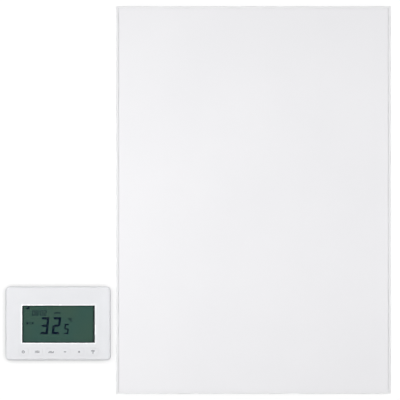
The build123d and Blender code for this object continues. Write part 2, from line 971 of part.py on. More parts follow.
with BuildPart() as terminal_lid:
    with BuildSketch(at_depth(box_back)):
        with Locations((0, box_centre_z)):
            RectangleRounded(box_width, box_height, box_corner)
    extrude(amount=box_lid_thickness)
    fillet(terminal_lid.faces().sort_by(Axis.Y)[-1].edges(), box_lid_round)
    lip_outer = box_wall + lid_fit
    lip_inner = lip_outer + lid_lip_width
    with BuildSketch(at_depth(box_rim)):
        with Locations((0, box_centre_z)):
            Rectangle(box_width - 2 * lip_outer, box_height - 2 * lip_outer)
            Rectangle(
                box_width - 2 * lip_inner,
                box_height - 2 * lip_inner,
                mode=Mode.SUBTRACT,
            )
        with Locations(*box_bosses):
            Rectangle(2 * boss_inset, 2 * boss_inset, mode=Mode.SUBTRACT)
        # Cut away over the gland's locknut.
        with Locations((gland_x, box_bottom + box_wall)):
            Rectangle(
                hex_corners * gland_flats + 2 * lid_fit,
                2 * (lid_lip_width + lid_fit) + lid_fit,
                mode=Mode.SUBTRACT,
            )
    extrude(amount=lid_lip_height)
    extrude(
        discs(at_depth(box_back), lid_screw_hole, box_bosses),
        amount=box_lid_thickness,
        mode=Mode.SUBTRACT,
    )
    extrude(
        discs(at_depth(box_back), lid_screw_head + 2 * rivet_fit, box_bosses),
        amount=box_lid_thickness / 2,
        mode=Mode.SUBTRACT,
    )
terminal_lid.part.label = "terminal_lid"
export_step(terminal_lid.part, "parts/terminal_lid.step")

with BuildPart() as lid_screws:
    head_front = box_back + box_lid_thickness / 2
    extrude(
        discs(at_depth(box_back + rivet_fit), lid_screw_head, box_bosses),
        amount=head_front - box_back - rivet_fit,
    )
    extrude(
        discs(at_depth(head_front), lid_screw_shank, box_bosses),
        amount=lid_screw_reach,
    )
    extrude(
        bars(at_depth(box_back), cross_length, cross_width, box_bosses),
        amount=cross_depth,
        mode=Mode.SUBTRACT,
    )
lid_screws.part.label = "lid_screws"
export_step(lid_screws.part, "parts/lid_screws.step")

with BuildPart() as box_rivets:
    extrude(
        discs(at_depth(box_floor - rivet_head_height), box_rivet_head, box_rivet_spots),
        amount=rivet_head_height,
    )
    extrude(
        discs(at_depth(box_floor), rivet_shank, box_rivet_spots),
        amount=cover_front - box_floor,
    )
    extrude(
        discs(at_depth(cover_front), rivet_tail, box_rivet_spots),
        amount=rivet_tail_height,
    )
box_rivets.part.label = "box_rivets"
export_step(box_rivets.part, "parts/box_rivets.step")


# ---------------------------------------------------------------- the cable gland
axis_spot = [(0, 0)]


def down_from(drop):
    """The plane that faces down on the gland's axis, this far below the box."""
    return Plane(
        origin=(gland_x, -gland_depth, box_bottom - drop),
        x_dir=(1, 0, 0),
        z_dir=(0, 0, -1),
    )


def hexagon(plane, flats):
    """A six-sided face whose flats point along the plane's Y direction."""
    with BuildSketch(plane) as face:
        RegularPolygon(flats / 2, 6, major_radius=False)
    return face.sketch


with BuildPart() as gland_body:
    inner_end = -box_wall - gland_wall_reach
    outer_end = gland_hex + gland_outer_thread
    extrude(hexagon(down_from(0), gland_flats), amount=gland_hex)
    extrude(
        discs(down_from(inner_end), gland_thread, axis_spot),
        amount=outer_end - inner_end,
    )
    extrude(
        discs(down_from(inner_end), gland_bore, axis_spot),
        amount=outer_end - inner_end,
        mode=Mode.SUBTRACT,
    )
gland_body.part.label = "gland_body"
export_step(gland_body.part, "parts/gland_body.step")

with BuildPart() as gland_locknut:
    locknut_start = -box_wall - locknut_height
    extrude(hexagon(down_from(locknut_start), gland_flats), amount=locknut_height)
    extrude(
        discs(down_from(locknut_start), gland_thread + 2 * thread_play, axis_spot),
        amount=locknut_height,
        mode=Mode.SUBTRACT,
    )
gland_locknut.part.label = "gland_locknut"
export_step(gland_locknut.part, "parts/gland_locknut.step")

# The dome nut squeezes the rubber seal against the end of the thread.
with BuildPart() as gland_nut:
    hex_end = dome_nut_drop + dome_hex
    extrude(hexagon(down_from(dome_nut_drop), gland_flats), amount=dome_hex)
    extrude(
        discs(down_from(hex_end), gland_flats, axis_spot),
        amount=dome_length,
        taper=dome_taper,
    )
    extrude(
        discs(down_from(dome_nut_drop), gland_thread + 2 * thread_play, axis_spot),
        amount=outer_end + thread_play - dome_nut_drop,
        mode=Mode.SUBTRACT,
    )
    extrude(
        discs(down_from(outer_end), seal_width + 2 * thread_play, axis_spot),
        amount=seal_length + 2 * thread_play,
        mode=Mode.SUBTRACT,
    )
    extrude(
        discs(down_from(outer_end), dome_mouth, axis_spot),
        amount=hex_end + dome_length - outer_end,
        mode=Mode.SUBTRACT,
    )
gland_nut.part.label = "gland_nut"
export_step(gland_nut.part, "parts/gland_nut.step")

with BuildPart() as gland_seal:
    seal_start = outer_end + thread_play
    extrude(discs(down_from(seal_start), seal_width, axis_spot), amount=seal_length)
    extrude(
        discs(down_from(seal_start), cable_bore, axis_spot),
        amount=seal_length,
        mode=Mode.SUBTRACT,
    )
gland_seal.part.label = "gland_seal"
export_step(gland_seal.part, "parts/gland_seal.step")

# ------------------------------------------------------- wiring in the terminal box
with BuildPart() as lead_grommet:
    grommet_spot = [(0, lead_z)]
    extrude(
        discs(at_depth(box_floor - grommet_lip), grommet_outer, grommet_spot),
        amount=grommet_lip,
    )
    extrude(
        discs(at_depth(box_floor), grommet_neck, grommet_spot),
        amount=cover_front - box_floor,
    )
    extrude(
        discs(at_depth(cover_front), grommet_outer, grommet_spot),
        amount=grommet_lip,
    )
    extrude(
        discs(at_depth(box_floor - grommet_lip), lead_width + 2 * lead_play, lead_spots),
        amount=cover_front - box_floor + 2 * grommet_lip,
        mode=Mode.SUBTRACT,
    )
lead_grommet.part.label = "lead_grommet"
export_step(lead_grommet.part, "parts/lead_grommet.step")

# The heater's two leads run back through the grommet and turn up into the block.
block_bottom = block_centre_z - block_height / 2
entry_depth = box_floor - block_depth / 2
pole_xs = [-lead_spacing / 2 + pole * lead_spacing for pole in range(poles)]
with BuildPart() as heater_lead:
    with BuildLine() as route:
        FilletPolyline(
            (lead_spacing / 2, -conductor_back, lead_z),
            (lead_spacing / 2, -entry_depth, lead_z),
            (lead_spacing / 2, -entry_depth, block_bottom + lead_grip),
            radius=lead_bend,
        )
    with BuildSketch(Plane(origin=route.line @ 0, z_dir=route.line % 0)):
        Circle(lead_width / 2)
    sweep()
with BuildPart() as heater_leads:
    add(heater_lead.part)
    mirror(about=Plane.YZ)
heater_leads.part.label = "heater_leads"
export_step(heater_leads.part, "parts/heater_leads.step")

block_centre_x = (pole_xs[0] + pole_xs[-1]) / 2
block_back = box_floor - block_depth
pole_screw_spots = [
    (x, block_centre_z + end * pole_screw_offset) for x in pole_xs for end in (-1, 1)
]
with BuildPart() as terminal_block:
    with BuildSketch(at_depth(block_back)):
        with Locations((block_centre_x, block_centre_z)):
            Rectangle(poles * lead_spacing + block_end, block_height)
    extrude(amount=block_depth)
    chamfer(terminal_block.faces().sort_by(Axis.Y)[-1].edges().filter_by(Axis.X), block_end)
    extrude(
        discs(at_depth(block_back), pole_screw + 2 * rivet_fit, pole_screw_spots),
        amount=pole_screw_sink + pole_screw_height,
        mode=Mode.SUBTRACT,
    )
    for end, height in ((1, block_bottom), (-1, block_bottom + block_height)):
        with BuildSketch(Plane(origin=(0, -entry_depth, height), x_dir=(1, 0, 0), z_dir=(0, 0, end))):
            with Locations(*[(x, 0) for x in pole_xs]):
                Circle(wire_entry / 2)
        extrude(amount=wire_entry_depth, mode=Mode.SUBTRACT)
terminal_block.part.label = "terminal_block"
export_step(terminal_block.part, "parts/terminal_block.step")

with BuildPart() as pole_screws:
    pole_screw_back = block_back + pole_screw_sink
    extrude(
        discs(at_depth(pole_screw_back), pole_screw, pole_screw_spots),
        amount=pole_screw_height,
    )
    extrude(
        bars(at_depth(pole_screw_back), pole_screw, cross_width, pole_screw_spots),
        amount=cross_depth,
        mode=Mode.SUBTRACT,
    )
pole_screws.part.label = "pole_screws"
export_step(pole_screws.part, "parts/pole_screws.step")

with BuildPart() as receiver_board:
    with BuildSketch(at_depth(receiver_back)):
        with Locations((receiver_x, receiver_z)):
            Rectangle(receiver_width, receiver_height)
    extrude(amount=receiver_thickness)
    extrude(
        bars(at_depth(receiver_back - chip_depth), chip_size, chip_size, [(receiver_x, chip_z)]),
        amount=chip_depth,
    )
receiver_board.part.label = "receiver_board"
export_step(receiver_board.part, "parts/receiver_board.step")

with BuildPart() as relay:
    with BuildSketch(at_depth(receiver_back - relay_depth)):
        with Locations((receiver_x, relay_z)):
            Rectangle(relay_width, relay_height)
    extrude(amount=relay_depth)
relay.part.label = "relay"
export_step(relay.part, "parts/relay.step")

# The overheat cut-out senses the foil through the board; its blades reach back
# through the cover into the box.
with BuildPart() as thermal_cutout:
    cutout_spot = [(cutout_x, cutout_z)]
    extrude(discs(at_depth(cutout_body_front), cutout_width, cutout_spot), amount=cutout_cap)
    fillet(
        thermal_cutout.faces().sort_by(Axis.Y)[0].edges(),
        cutout_cap_round,
    )
    extrude(discs(at_depth(cutout_body_back), cutout_body_width, cutout_spot), amount=cutout_body)
    extrude(
        bars(
            at_depth(cutout_body_back - blade_length),
            blade_thickness,
            blade_width,
            [(cutout_x + side * blade_spacing / 2, cutout_z) for side in (-1, 1)],
        ),
        amount=blade_length,
    )
thermal_cutout.part.label = "thermal_cutout"
export_step(thermal_cutout.part, "parts/thermal_cutout.step")

with BuildPart() as earth_terminal:
    earth_spot = [(earth_x, earth_z)]
    washer_back = box_floor - washer_thickness
    nut_back = washer_back - earth_nut_height
    extrude(
        discs(at_depth(cover_back - earth_stud_length), earth_stud, earth_spot),
        amount=earth_stud_length,
    )
    extrude(discs(at_depth(washer_back), washer_width, earth_spot), amount=washer_thickness)
    with BuildSketch(at_depth(nut_back)):
        with Locations(*earth_spot):
            RegularPolygon(earth_nut_flats / 2, 6, major_radius=False)
    extrude(amount=earth_nut_height)
earth_terminal.part.label = "earth_terminal"
export_step(earth_terminal.part, "parts/earth_terminal.step")

# ------------------------------------------------------- the thermostat's wall plate
with BuildPart() as thermostat_wall_plate:
    with BuildSketch(on_thermostat(0)):
        RectangleRounded(wall_plate_width, wall_plate_height, wall_plate_corner)
        Rectangle(cable_window_width, cable_window_height, mode=Mode.SUBTRACT)
    extrude(amount=wall_plate_thickness)
    chamfer(
        thermostat_wall_plate.faces().sort_by(Axis.Y)[0].outer_wire().edges(),
        wall_plate_edge,
    )
    extrude(
        slots(on_thermostat(0), wall_slot_length, wall_slot_width, wall_slot_spots),
        amount=wall_plate_thickness,
        mode=Mode.SUBTRACT,
    )
    extrude(
        slots(
            on_thermostat(wall_plate_thickness - wall_slot_sink),
            wall_slot_length + wall_slot_border,
            wall_slot_width + wall_slot_border,
            wall_slot_spots,
        ),
        amount=wall_slot_sink,
        mode=Mode.SUBTRACT,
    )
    # Four hooks: a stem out of the plate and a tongue that points up behind the
    # thermostat's rear wall.
    tongue_back = rear_inside + seat_gap
    extrude(
        bars(on_thermostat(wall_plate_thickness), hook_width, hook_stem, hook_spots),
        amount=tongue_back + hook_tongue_thickness - wall_plate_thickness,
    )
    extrude(
        bars(
            on_thermostat(tongue_back),
            hook_width,
            hook_stem + hook_tongue,
            [(x, z + hook_tongue / 2) for x, z in hook_spots],
        ),
        amount=hook_tongue_thickness,
    )
thermostat_wall_plate.part.label = "thermostat_wall_plate"
export_step(thermostat_wall_plate.part, "parts/thermostat_wall_plate.step")

# ------------------------------------------------------------ the thermostat's housing
groove_width = lid_width + 2 * (lid_tongue + lid_side_play)
recess_top = lid_top + lid_side_play
recess_height = recess_top + thermostat_height / 2 + rear_wall
recess_spot = [(0, recess_top - recess_height / 2)]
cell_spot = [(0, -battery_drop)]
with BuildPart() as rear_shell:
    with BuildSketch(on_thermostat(rear_back)):
        RectangleRounded(thermostat_width, thermostat_height, thermostat_corner)
    extrude(amount=rear_rim - rear_back)
    fillet(rear_shell.faces().sort_by(Axis.Y)[-1].edges(), rear_round)
    with BuildSketch(on_thermostat(rear_inside)):
        RectangleRounded(
            thermostat_width - 2 * rear_wall,
            thermostat_height - 2 * rear_wall,
            thermostat_corner - rear_wall,
        )
    extrude(amount=rear_rim - rear_inside, mode=Mode.SUBTRACT)
    # The rim's tongue enters the front half.
    with BuildSketch(on_thermostat(rear_rim)):
        RectangleRounded(
            thermostat_width - 2 * (front_wall + tongue_gap),
            thermostat_height - 2 * (front_wall + tongue_gap),
            thermostat_corner - front_wall - tongue_gap,
        )
        RectangleRounded(
            thermostat_width - 2 * rear_wall,
            thermostat_height - 2 * rear_wall,
            thermostat_corner - rear_wall,
            mode=Mode.SUBTRACT,
        )
    extrude(amount=parting_gap + tongue_height)
    # Thicker floor round the battery lid, and the cell pocket behind it.
    pad_top = recess_top + pad_border
    pad_bottom = rear_wall - thermostat_height / 2
    extrude(
        bars(
            on_thermostat(rear_inside),
            groove_width + 2 * pad_border,
            pad_top - pad_bottom,
            [(0, (pad_top + pad_bottom) / 2)],
        ),
        amount=pocket_mouth + pad_thickness - rear_inside,
    )
    extrude(
        bars(
            on_thermostat(rear_inside),
            pocket_width + 2 * pocket_wall,
            pocket_height + 2 * pocket_wall,
            cell_spot,
        ),
        amount=pocket_end + pocket_wall - rear_inside,
    )
    extrude(
        discs(on_thermostat(rear_inside), housing_boss, housing_spots),
        amount=rear_rim - rear_inside,
    )
    extrude(
        bars(
            on_thermostat(rear_back),
            lid_width + 2 * lid_side_play,
            recess_height,
            recess_spot,
        ),
        amount=pocket_mouth - rear_back,
        mode=Mode.SUBTRACT,
    )
    extrude(
        bars(on_thermostat(rear_back + groove_lip), groove_width, recess_height, recess_spot),
        amount=pocket_mouth - rear_back - groove_lip,
        mode=Mode.SUBTRACT,
    )
    extrude(
        bars(on_thermostat(pocket_mouth), pocket_width, pocket_height, cell_spot),
        amount=pocket_depth,
        mode=Mode.SUBTRACT,
    )
    extrude(
        bars(
            on_thermostat(rear_back),
            hook_width + 2 * seat_gap,
            hook_stem + thermostat_lift + 2 * seat_gap,
            [(x, z - thermostat_lift / 2) for x, z in hook_spots],
        ),
        amount=rear_floor,
        mode=Mode.SUBTRACT,
    )
    extrude(
        discs(on_thermostat(rear_back), housing_head + 2 * seat_gap, housing_spots),
        amount=housing_sink,
        mode=Mode.SUBTRACT,
    )
    extrude(
        discs(on_thermostat(rear_back), housing_hole, housing_spots),
        amount=rear_rim - rear_back,
        mode=Mode.SUBTRACT,
    )
    # Vents through the top and bottom walls, either side of the battery pocket.
    vent_plane = Plane(
        origin=(
            thermostat_x,
            -(rear_inside + rear_rim) / 2,
            thermostat_z - thermostat_height / 2,
        )
    )
    vent_spots = [
        (side * vent_offset + (step - (vent_count - 1) / 2) * vent_pitch, 0)
        for side in (-1, 1)
        for step in range(vent_count)
    ]
    extrude(
        bars(vent_plane, vent_width, vent_length, vent_spots),
        amount=thermostat_height,
        mode=Mode.SUBTRACT,
    )
rear_shell.part.label = "rear_shell"
export_step(rear_shell.part, "parts/rear_shell.step")

window_spot = [(0, -window_drop)]
with BuildPart() as front_shell:
    with BuildSketch(on_thermostat(parting_depth)):
        RectangleRounded(thermostat_width, thermostat_height, thermostat_corner)
    extrude(amount=thermostat_depth - parting_depth)
    fillet(front_shell.faces().sort_by(Axis.Y)[0].edges(), front_round)
    with BuildSketch(on_thermostat(parting_depth)):
        RectangleRounded(
            thermostat_width - 2 * front_wall,
            thermostat_height - 2 * front_wall,
            thermostat_corner - front_wall,
        )
    extrude(amount=front_inside - parting_depth, mode=Mode.SUBTRACT)
    boss_back = parting_depth + tongue_height + tongue_gap
    extrude(
        discs(on_thermostat(boss_back), housing_boss, housing_spots),
        amount=front_inside - boss_back,
    )
    extrude(
        discs(on_thermostat(parting_depth), housing_pilot, housing_spots),
        amount=rear_back + housing_sink + housing_screw_length
        + housing_pilot_spare - parting_depth,
        mode=Mode.SUBTRACT,
    )
    extrude(
        discs(on_thermostat(circuit_front), circuit_post, post_spots),
        amount=front_inside - circuit_front,
    )
    extrude(
        discs(on_thermostat(circuit_front), circuit_screw_pilot, post_spots),
        amount=circuit_screw_reach + housing_pilot_spare,
        mode=Mode.SUBTRACT,
    )
    extrude(
        tiles(
            on_thermostat(front_inside),
            window_width,
            window_height,
            window_corner,
            window_spot,
        ),
        amount=front_wall,
        mode=Mode.SUBTRACT,
    )
    chamfer(
        front_shell.faces().sort_by(Axis.Y)[0].inner_wires()[0].edges(),
        window_edge,
    )
    extrude(
        tiles(
            on_thermostat(front_inside),
            key_width + 2 * key_gap,
            key_height + 2 * key_gap,
            key_corner + key_gap,
            key_spots,
        ),
        amount=front_wall,
        mode=Mode.SUBTRACT,
    )
front_shell.part.label = "front_shell"
export_step(front_shell.part, "parts/front_shell.step")

with BuildPart() as housing_screws:
    housing_seat = rear_back + housing_sink
    extrude(
        discs(on_thermostat(housing_seat - housing_head_height), housing_head, housing_spots),
        amount=housing_head_height,
    )
    extrude(
        discs(on_thermostat(housing_seat), housing_shank, housing_spots),
        amount=housing_screw_length,
    )
    with BuildSketch(on_thermostat(housing_seat - housing_head_height)):
        with Locations(*housing_spots):
            Rectangle(cross_length, cross_width)
            Rectangle(cross_width, cross_length)
    extrude(amount=cross_depth, mode=Mode.SUBTRACT)
housing_screws.part.label = "housing_screws"
export_step(housing_screws.part, "parts/housing_screws.step")

# ------------------------------------------------------------------- display stack
with BuildPart() as display_lens:
    extrude(
        bars(
            on_thermostat(lens_back),
            window_width + 2 * lens_flange,
            window_height + 2 * lens_flange,
            window_spot,
        ),
        amount=lens_flange_thickness,
    )
    extrude(
        tiles(
            on_thermostat(front_inside),
            window_width - 2 * lens_fit,
            window_height - 2 * lens_fit,
            window_corner - lens_fit,
            window_spot,
        ),
        amount=front_wall - lens_recess,
    )
display_lens.part.label = "display_lens"
export_step(display_lens.part, "parts/display_lens.step")

glass_width = window_width + 2 * glass_margin
glass_height = window_height + 2 * glass_margin
with BuildPart() as display_bezel:
    extrude(
        bars(
            on_thermostat(circuit_front),
            glass_width + 2 * (glass_fit + bezel_wall),
            glass_height + 2 * (glass_fit + bezel_wall),
            window_spot,
        ),
        amount=bezel_front - circuit_front,
    )
    extrude(
        bars(
            on_thermostat(circuit_front),
            glass_width + 2 * glass_fit,
            glass_height + 2 * glass_fit,
            window_spot,
        ),
        amount=glass_front - circuit_front,
        mode=Mode.SUBTRACT,
    )
    extrude(
        bars(
            on_thermostat(glass_front),
            window_width - 2 * bezel_rim,
            window_height - 2 * bezel_end_rim,
            window_spot,
        ),
        amount=bezel_lip,
        mode=Mode.SUBTRACT,
    )
display_bezel.part.label = "display_bezel"
export_step(display_bezel.part, "parts/display_bezel.step")

# Two sheets of glass, the rear one taller so that its contacts are left bare.
with BuildPart() as display_glass:
    extrude(
        bars(on_thermostat(glass_back), glass_width, glass_height, window_spot),
        amount=glass_thickness,
    )
    extrude(
        bars(
            on_thermostat(glass_back + glass_thickness),
            glass_width,
            glass_height - glass_step,
            window_spot,
        ),
        amount=glass_thickness,
    )
display_glass.part.label = "display_glass"
export_step(display_glass.part, "parts/display_glass.step")

with BuildPart() as light_guide:
    extrude(
        bars(
            on_thermostat(guide_back),
            glass_width,
            glass_height - 2 * light_guide_border,
            window_spot,
        ),
        amount=light_guide_thickness,
    )
light_guide.part.label = "light_guide"
export_step(light_guide.part, "parts/light_guide.step")

with BuildPart() as contact_strips:
    strip_z = (glass_height - light_guide_border) / 2
    extrude(
        bars(
            on_thermostat(circuit_front),
            glass_width - 2 * strip_end,
            strip_width,
            [(0, end * strip_z - window_drop) for end in (-1, 1)],
        ),
        amount=glass_back - circuit_front,
    )
contact_strips.part.label = "contact_strips"
export_step(contact_strips.part, "parts/contact_strips.step")

# ----------------------------------------------------------------- circuit board
with BuildPart() as circuit_board:
    extrude(
        tiles(on_thermostat(circuit_back), circuit_width, circuit_height, circuit_corner),
        amount=circuit_thickness,
    )
    extrude(
        discs(on_thermostat(circuit_back), circuit_screw_hole, post_spots),
        amount=circuit_thickness,
        mode=Mode.SUBTRACT,
    )
circuit_board.part.label = "circuit_board"
export_step(circuit_board.part, "parts/circuit_board.step")

with BuildPart() as circuit_screws:
    extrude(
        discs(
            on_thermostat(circuit_back - circuit_screw_head_height),
            circuit_screw_head,
            post_spots,
        ),
        amount=circuit_screw_head_height,
    )
    extrude(
        discs(on_thermostat(circuit_back), circuit_screw_shank, post_spots),
        amount=circuit_thickness + circuit_screw_reach,
    )
circuit_screws.part.label = "circuit_screws"
export_step(circuit_screws.part, "parts/circuit_screws.step")

with BuildPart() as key_switches:
    extrude(
        bars(on_thermostat(circuit_front), switch_size, switch_size, key_spots),
        amount=switch_height,
    )
    extrude(
        discs(on_thermostat(circuit_front + switch_height), plunger_width, key_spots),
        amount=plunger_height,
    )
key_switches.part.label = "key_switches"
export_step(key_switches.part, "parts/key_switches.step")

with BuildPart() as radio_module:
    radio_spot = [(radio_x, radio_z)]
    extrude(
        bars(on_thermostat(circuit_front), radio_width, radio_height, radio_spot),
        amount=radio_board,
    )
    extrude(
        bars(
            on_thermostat(circuit_front + radio_board),
            radio_width - 2 * radio_can_border,
            radio_height - 2 * radio_can_border,
            radio_spot,
        ),
        amount=radio_can,
    )
radio_module.part.label = "radio_module"
export_step(radio_module.part, "parts/radio_module.step")

with BuildPart() as temperature_sensor:
    bead_back = circuit_front + sensor_rise
    extrude(
        discs(
            on_thermostat(circuit_front),
            sensor_leg,
            [(sensor_x, sensor_z + end * sensor_leg_spacing / 2) for end in (-1, 1)],
        ),
        amount=sensor_rise,
    )
    extrude(
        discs(on_thermostat(bead_back), sensor_width, [(sensor_x, sensor_z)]),
        amount=sensor_width,
    )
temperature_sensor.part.label = "temperature_sensor"
export_step(temperature_sensor.part, "parts/temperature_sensor.step")

# ------------------------------------------------------------------------- keys
key_names = ("key_power", "key_levels", "key_program", "key_minus", "key_plus", "key_wireless")
for name, spot in zip(key_names, key_spots):
    with BuildPart() as key:
        extrude(
            tiles(on_thermostat(key_flange_front), key_width, key_height, key_corner, [spot]),
            amount=thermostat_depth - key_flange_front,
        )
        chamfer(key.faces().sort_by(Axis.Y)[0].edges(), key_edge)
        extrude(
            tiles(
                on_thermostat(key_flange_back),
                key_width + 2 * key_flange_border,
                key_height + 2 * key_flange_border,
                key_corner,
                [spot],
            ),
            amount=key_flange_thickness,
        )
        extrude(
            discs(on_thermostat(key_stem_back), key_stem, [spot]),
            amount=key_flange_back - key_stem_back,
        )
    key.part.label = name
    export_step(key.part, f"parts/{name}.step")

# --------------------------------------------------------------- battery compartment
with BuildPart() as battery_cells:
    for way in (-1, 1):
        start = Plane(
            origin=(
                thermostat_x - way * cell_length / 2,
                -cell_depth,
                thermostat_z - battery_drop + way * cell_rise,
            ),
            z_dir=(way, 0, 0),
        )
        with BuildSketch(start):
            Circle(cell_width / 2)
        extrude(amount=cell_length - cell_nub)
    fillet(battery_cells.edges().filter_by(GeomType.CIRCLE), cell_round)
    for way in (-1, 1):
        start = Plane(
            origin=(
                thermostat_x + way * (cell_length / 2 - cell_nub),
                -cell_depth,
                thermostat_z - battery_drop + way * cell_rise,
            ),
            z_dir=(way, 0, 0),
        )
        with BuildSketch(start):
            Circle(cell_nub_width / 2)
        extrude(amount=cell_nub)
battery_cells.part.label = "battery_cells"
export_step(battery_cells.part, "parts/battery_cells.step")

# Leaf contacts: a flat plate at each pocket end with a sprung fold towards the cell.
contact_outer = pocket_width / 2 - contact_gap
contact_inner = contact_outer - contact_thickness
leaf_tip = cell_length / 2 + leaf_gap
with BuildPart() as battery_contacts:
    for rise in (-cell_rise, cell_rise):
        with BuildSketch(
            Plane(
                origin=(
                    thermostat_x,
                    -cell_depth,
                    thermostat_z - battery_drop + rise - contact_height / 2,
                )
            )
        ):
            for side in (-1, 1):
                with BuildLine():
                    Polyline(
                        (side * contact_outer, -contact_depth / 2),
                        (side * contact_inner, -contact_depth / 2),
                        (side * contact_inner, -contact_leaf),
                        (side * leaf_tip, 0),
                        (side * contact_inner, contact_leaf),
                        (side * contact_inner, contact_depth / 2),
                        (side * contact_outer, contact_depth / 2),
                        (side * contact_outer, contact_leaf - contact_thickness),
                        (side * (leaf_tip + contact_thickness), 0),
                        (side * contact_outer, contact_thickness - contact_leaf),
                        close=True,
                    )
                make_face()
        extrude(amount=contact_height)
battery_contacts.part.label = "battery_contacts"
export_step(battery_contacts.part, "parts/battery_contacts.step")

# The lid runs in side grooves and slides down off the rear shell.
with BuildPart() as battery_lid:
    lid_spot = [(0, lid_centre_z)]
    extrude(
        bars(on_thermostat(lid_back), lid_width, lid_height, lid_spot),
        amount=lid_thickness,
    )
    extrude(
        bars(
            on_thermostat(lid_front - lid_tongue_thickness),
            lid_width + 2 * lid_tongue,
            lid_height,
            lid_spot,
        ),
        amount=lid_tongue_thickness,
    )
    fillet(
        battery_lid.faces().sort_by(Axis.Y)[-1].edges().sort_by(Axis.Z)[0],
        lid_end_round,
    )
    extrude(
        slots(
            on_thermostat(lid_back),
            grip_length,
            grip_width,
            [(0, lid_bottom + grip_first + step * grip_pitch) for step in range(grip_count)],
        ),
        amount=grip_depth,
        mode=Mode.SUBTRACT,
    )
battery_lid.part.label = "battery_lid"
export_step(battery_lid.part, "parts/battery_lid.step")
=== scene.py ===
"""Looks of an infrared panel heater and its wireless thermostat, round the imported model.

Metres, in the part's own frame: X to the right, Y back into the wall, Z up, with the
origin on the wall behind the middle of the panel.
"""
import logging
import math
from collections.abc import Callable, Sequence
from dataclasses import dataclass, field
from enum import Enum

import bmesh
import bpy
from mathutils import Matrix, Vector


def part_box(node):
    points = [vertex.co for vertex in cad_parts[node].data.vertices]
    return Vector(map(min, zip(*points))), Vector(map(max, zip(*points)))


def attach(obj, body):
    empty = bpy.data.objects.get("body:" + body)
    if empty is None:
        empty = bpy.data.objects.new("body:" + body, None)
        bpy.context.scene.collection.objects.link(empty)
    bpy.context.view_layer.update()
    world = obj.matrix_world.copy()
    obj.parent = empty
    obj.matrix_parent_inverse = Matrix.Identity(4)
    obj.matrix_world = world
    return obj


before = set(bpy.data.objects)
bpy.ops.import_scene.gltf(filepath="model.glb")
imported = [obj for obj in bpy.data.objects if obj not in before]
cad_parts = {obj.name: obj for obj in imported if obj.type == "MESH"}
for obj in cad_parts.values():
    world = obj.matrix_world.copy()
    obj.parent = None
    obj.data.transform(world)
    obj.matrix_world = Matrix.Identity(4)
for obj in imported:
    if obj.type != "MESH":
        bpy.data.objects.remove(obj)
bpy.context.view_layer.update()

log = logging.getLogger("heater")

Colour = tuple[float, float, float]
Spot = tuple[float, float]
Socket = bpy.types.NodeSocket
Surface = tuple[Socket, Socket, Socket]
Piece = bpy.types.Object
Marks = list[Piece]

# Vertices closer than this are one.
WELD = 1e-7
WHITE = (1.0, 1.0, 1.0, 1.0)
BLACK = (0.0, 0.0, 0.0, 1.0)


@dataclass(frozen=True)
class Channel:
    """The space inside the frame's lip, and the shade painted on its walls.

    The last three fields are the painted shade's strength at the left and at the right, the
    heights from the middle at which it starts and is full, and the strength of the coat's clouds.
    """

    half_width: float = 0.2079
    front: float = -0.0452
    half_height: float = 0.2944
    painted_shade: tuple[float, float] = (1.0, 0.0)
    painted_shade_ends: tuple[float, float] = (0.10, 0.25)
    clouds: float = 0.12


@dataclass(frozen=True)
class Clouds:
    """How broad the slow clouds of each grain are."""

    powder: float = 0.12
    moulded: float = 0.03
    smooth: float = 0.05
    haze: float = 0.01
    rolled: float = 0.02
    turned: float = 0.004
    laminate: float = 0.003


CHANNEL = Channel()
CLOUDS = Clouds()
# How densely a pattern is read along its lines, against 1 across them.
LINES = 0.02
FIBRES = 0.08
FIBRE_TURNS = (0.3, 1.4, 2.5)
# The part of each pattern's range that its tone spreads over.
TANGLE_TONE = (0.45, 0.8)
CLOTH_TONE = (0.1, 0.7)
TRACK_TONE = (0.45, 0.55)
TRACKS_PER_CELL = 9.0
# Where the cells' printed band lies along X, and half its width.
BAND_X = -0.288
BAND_HALF = 0.003


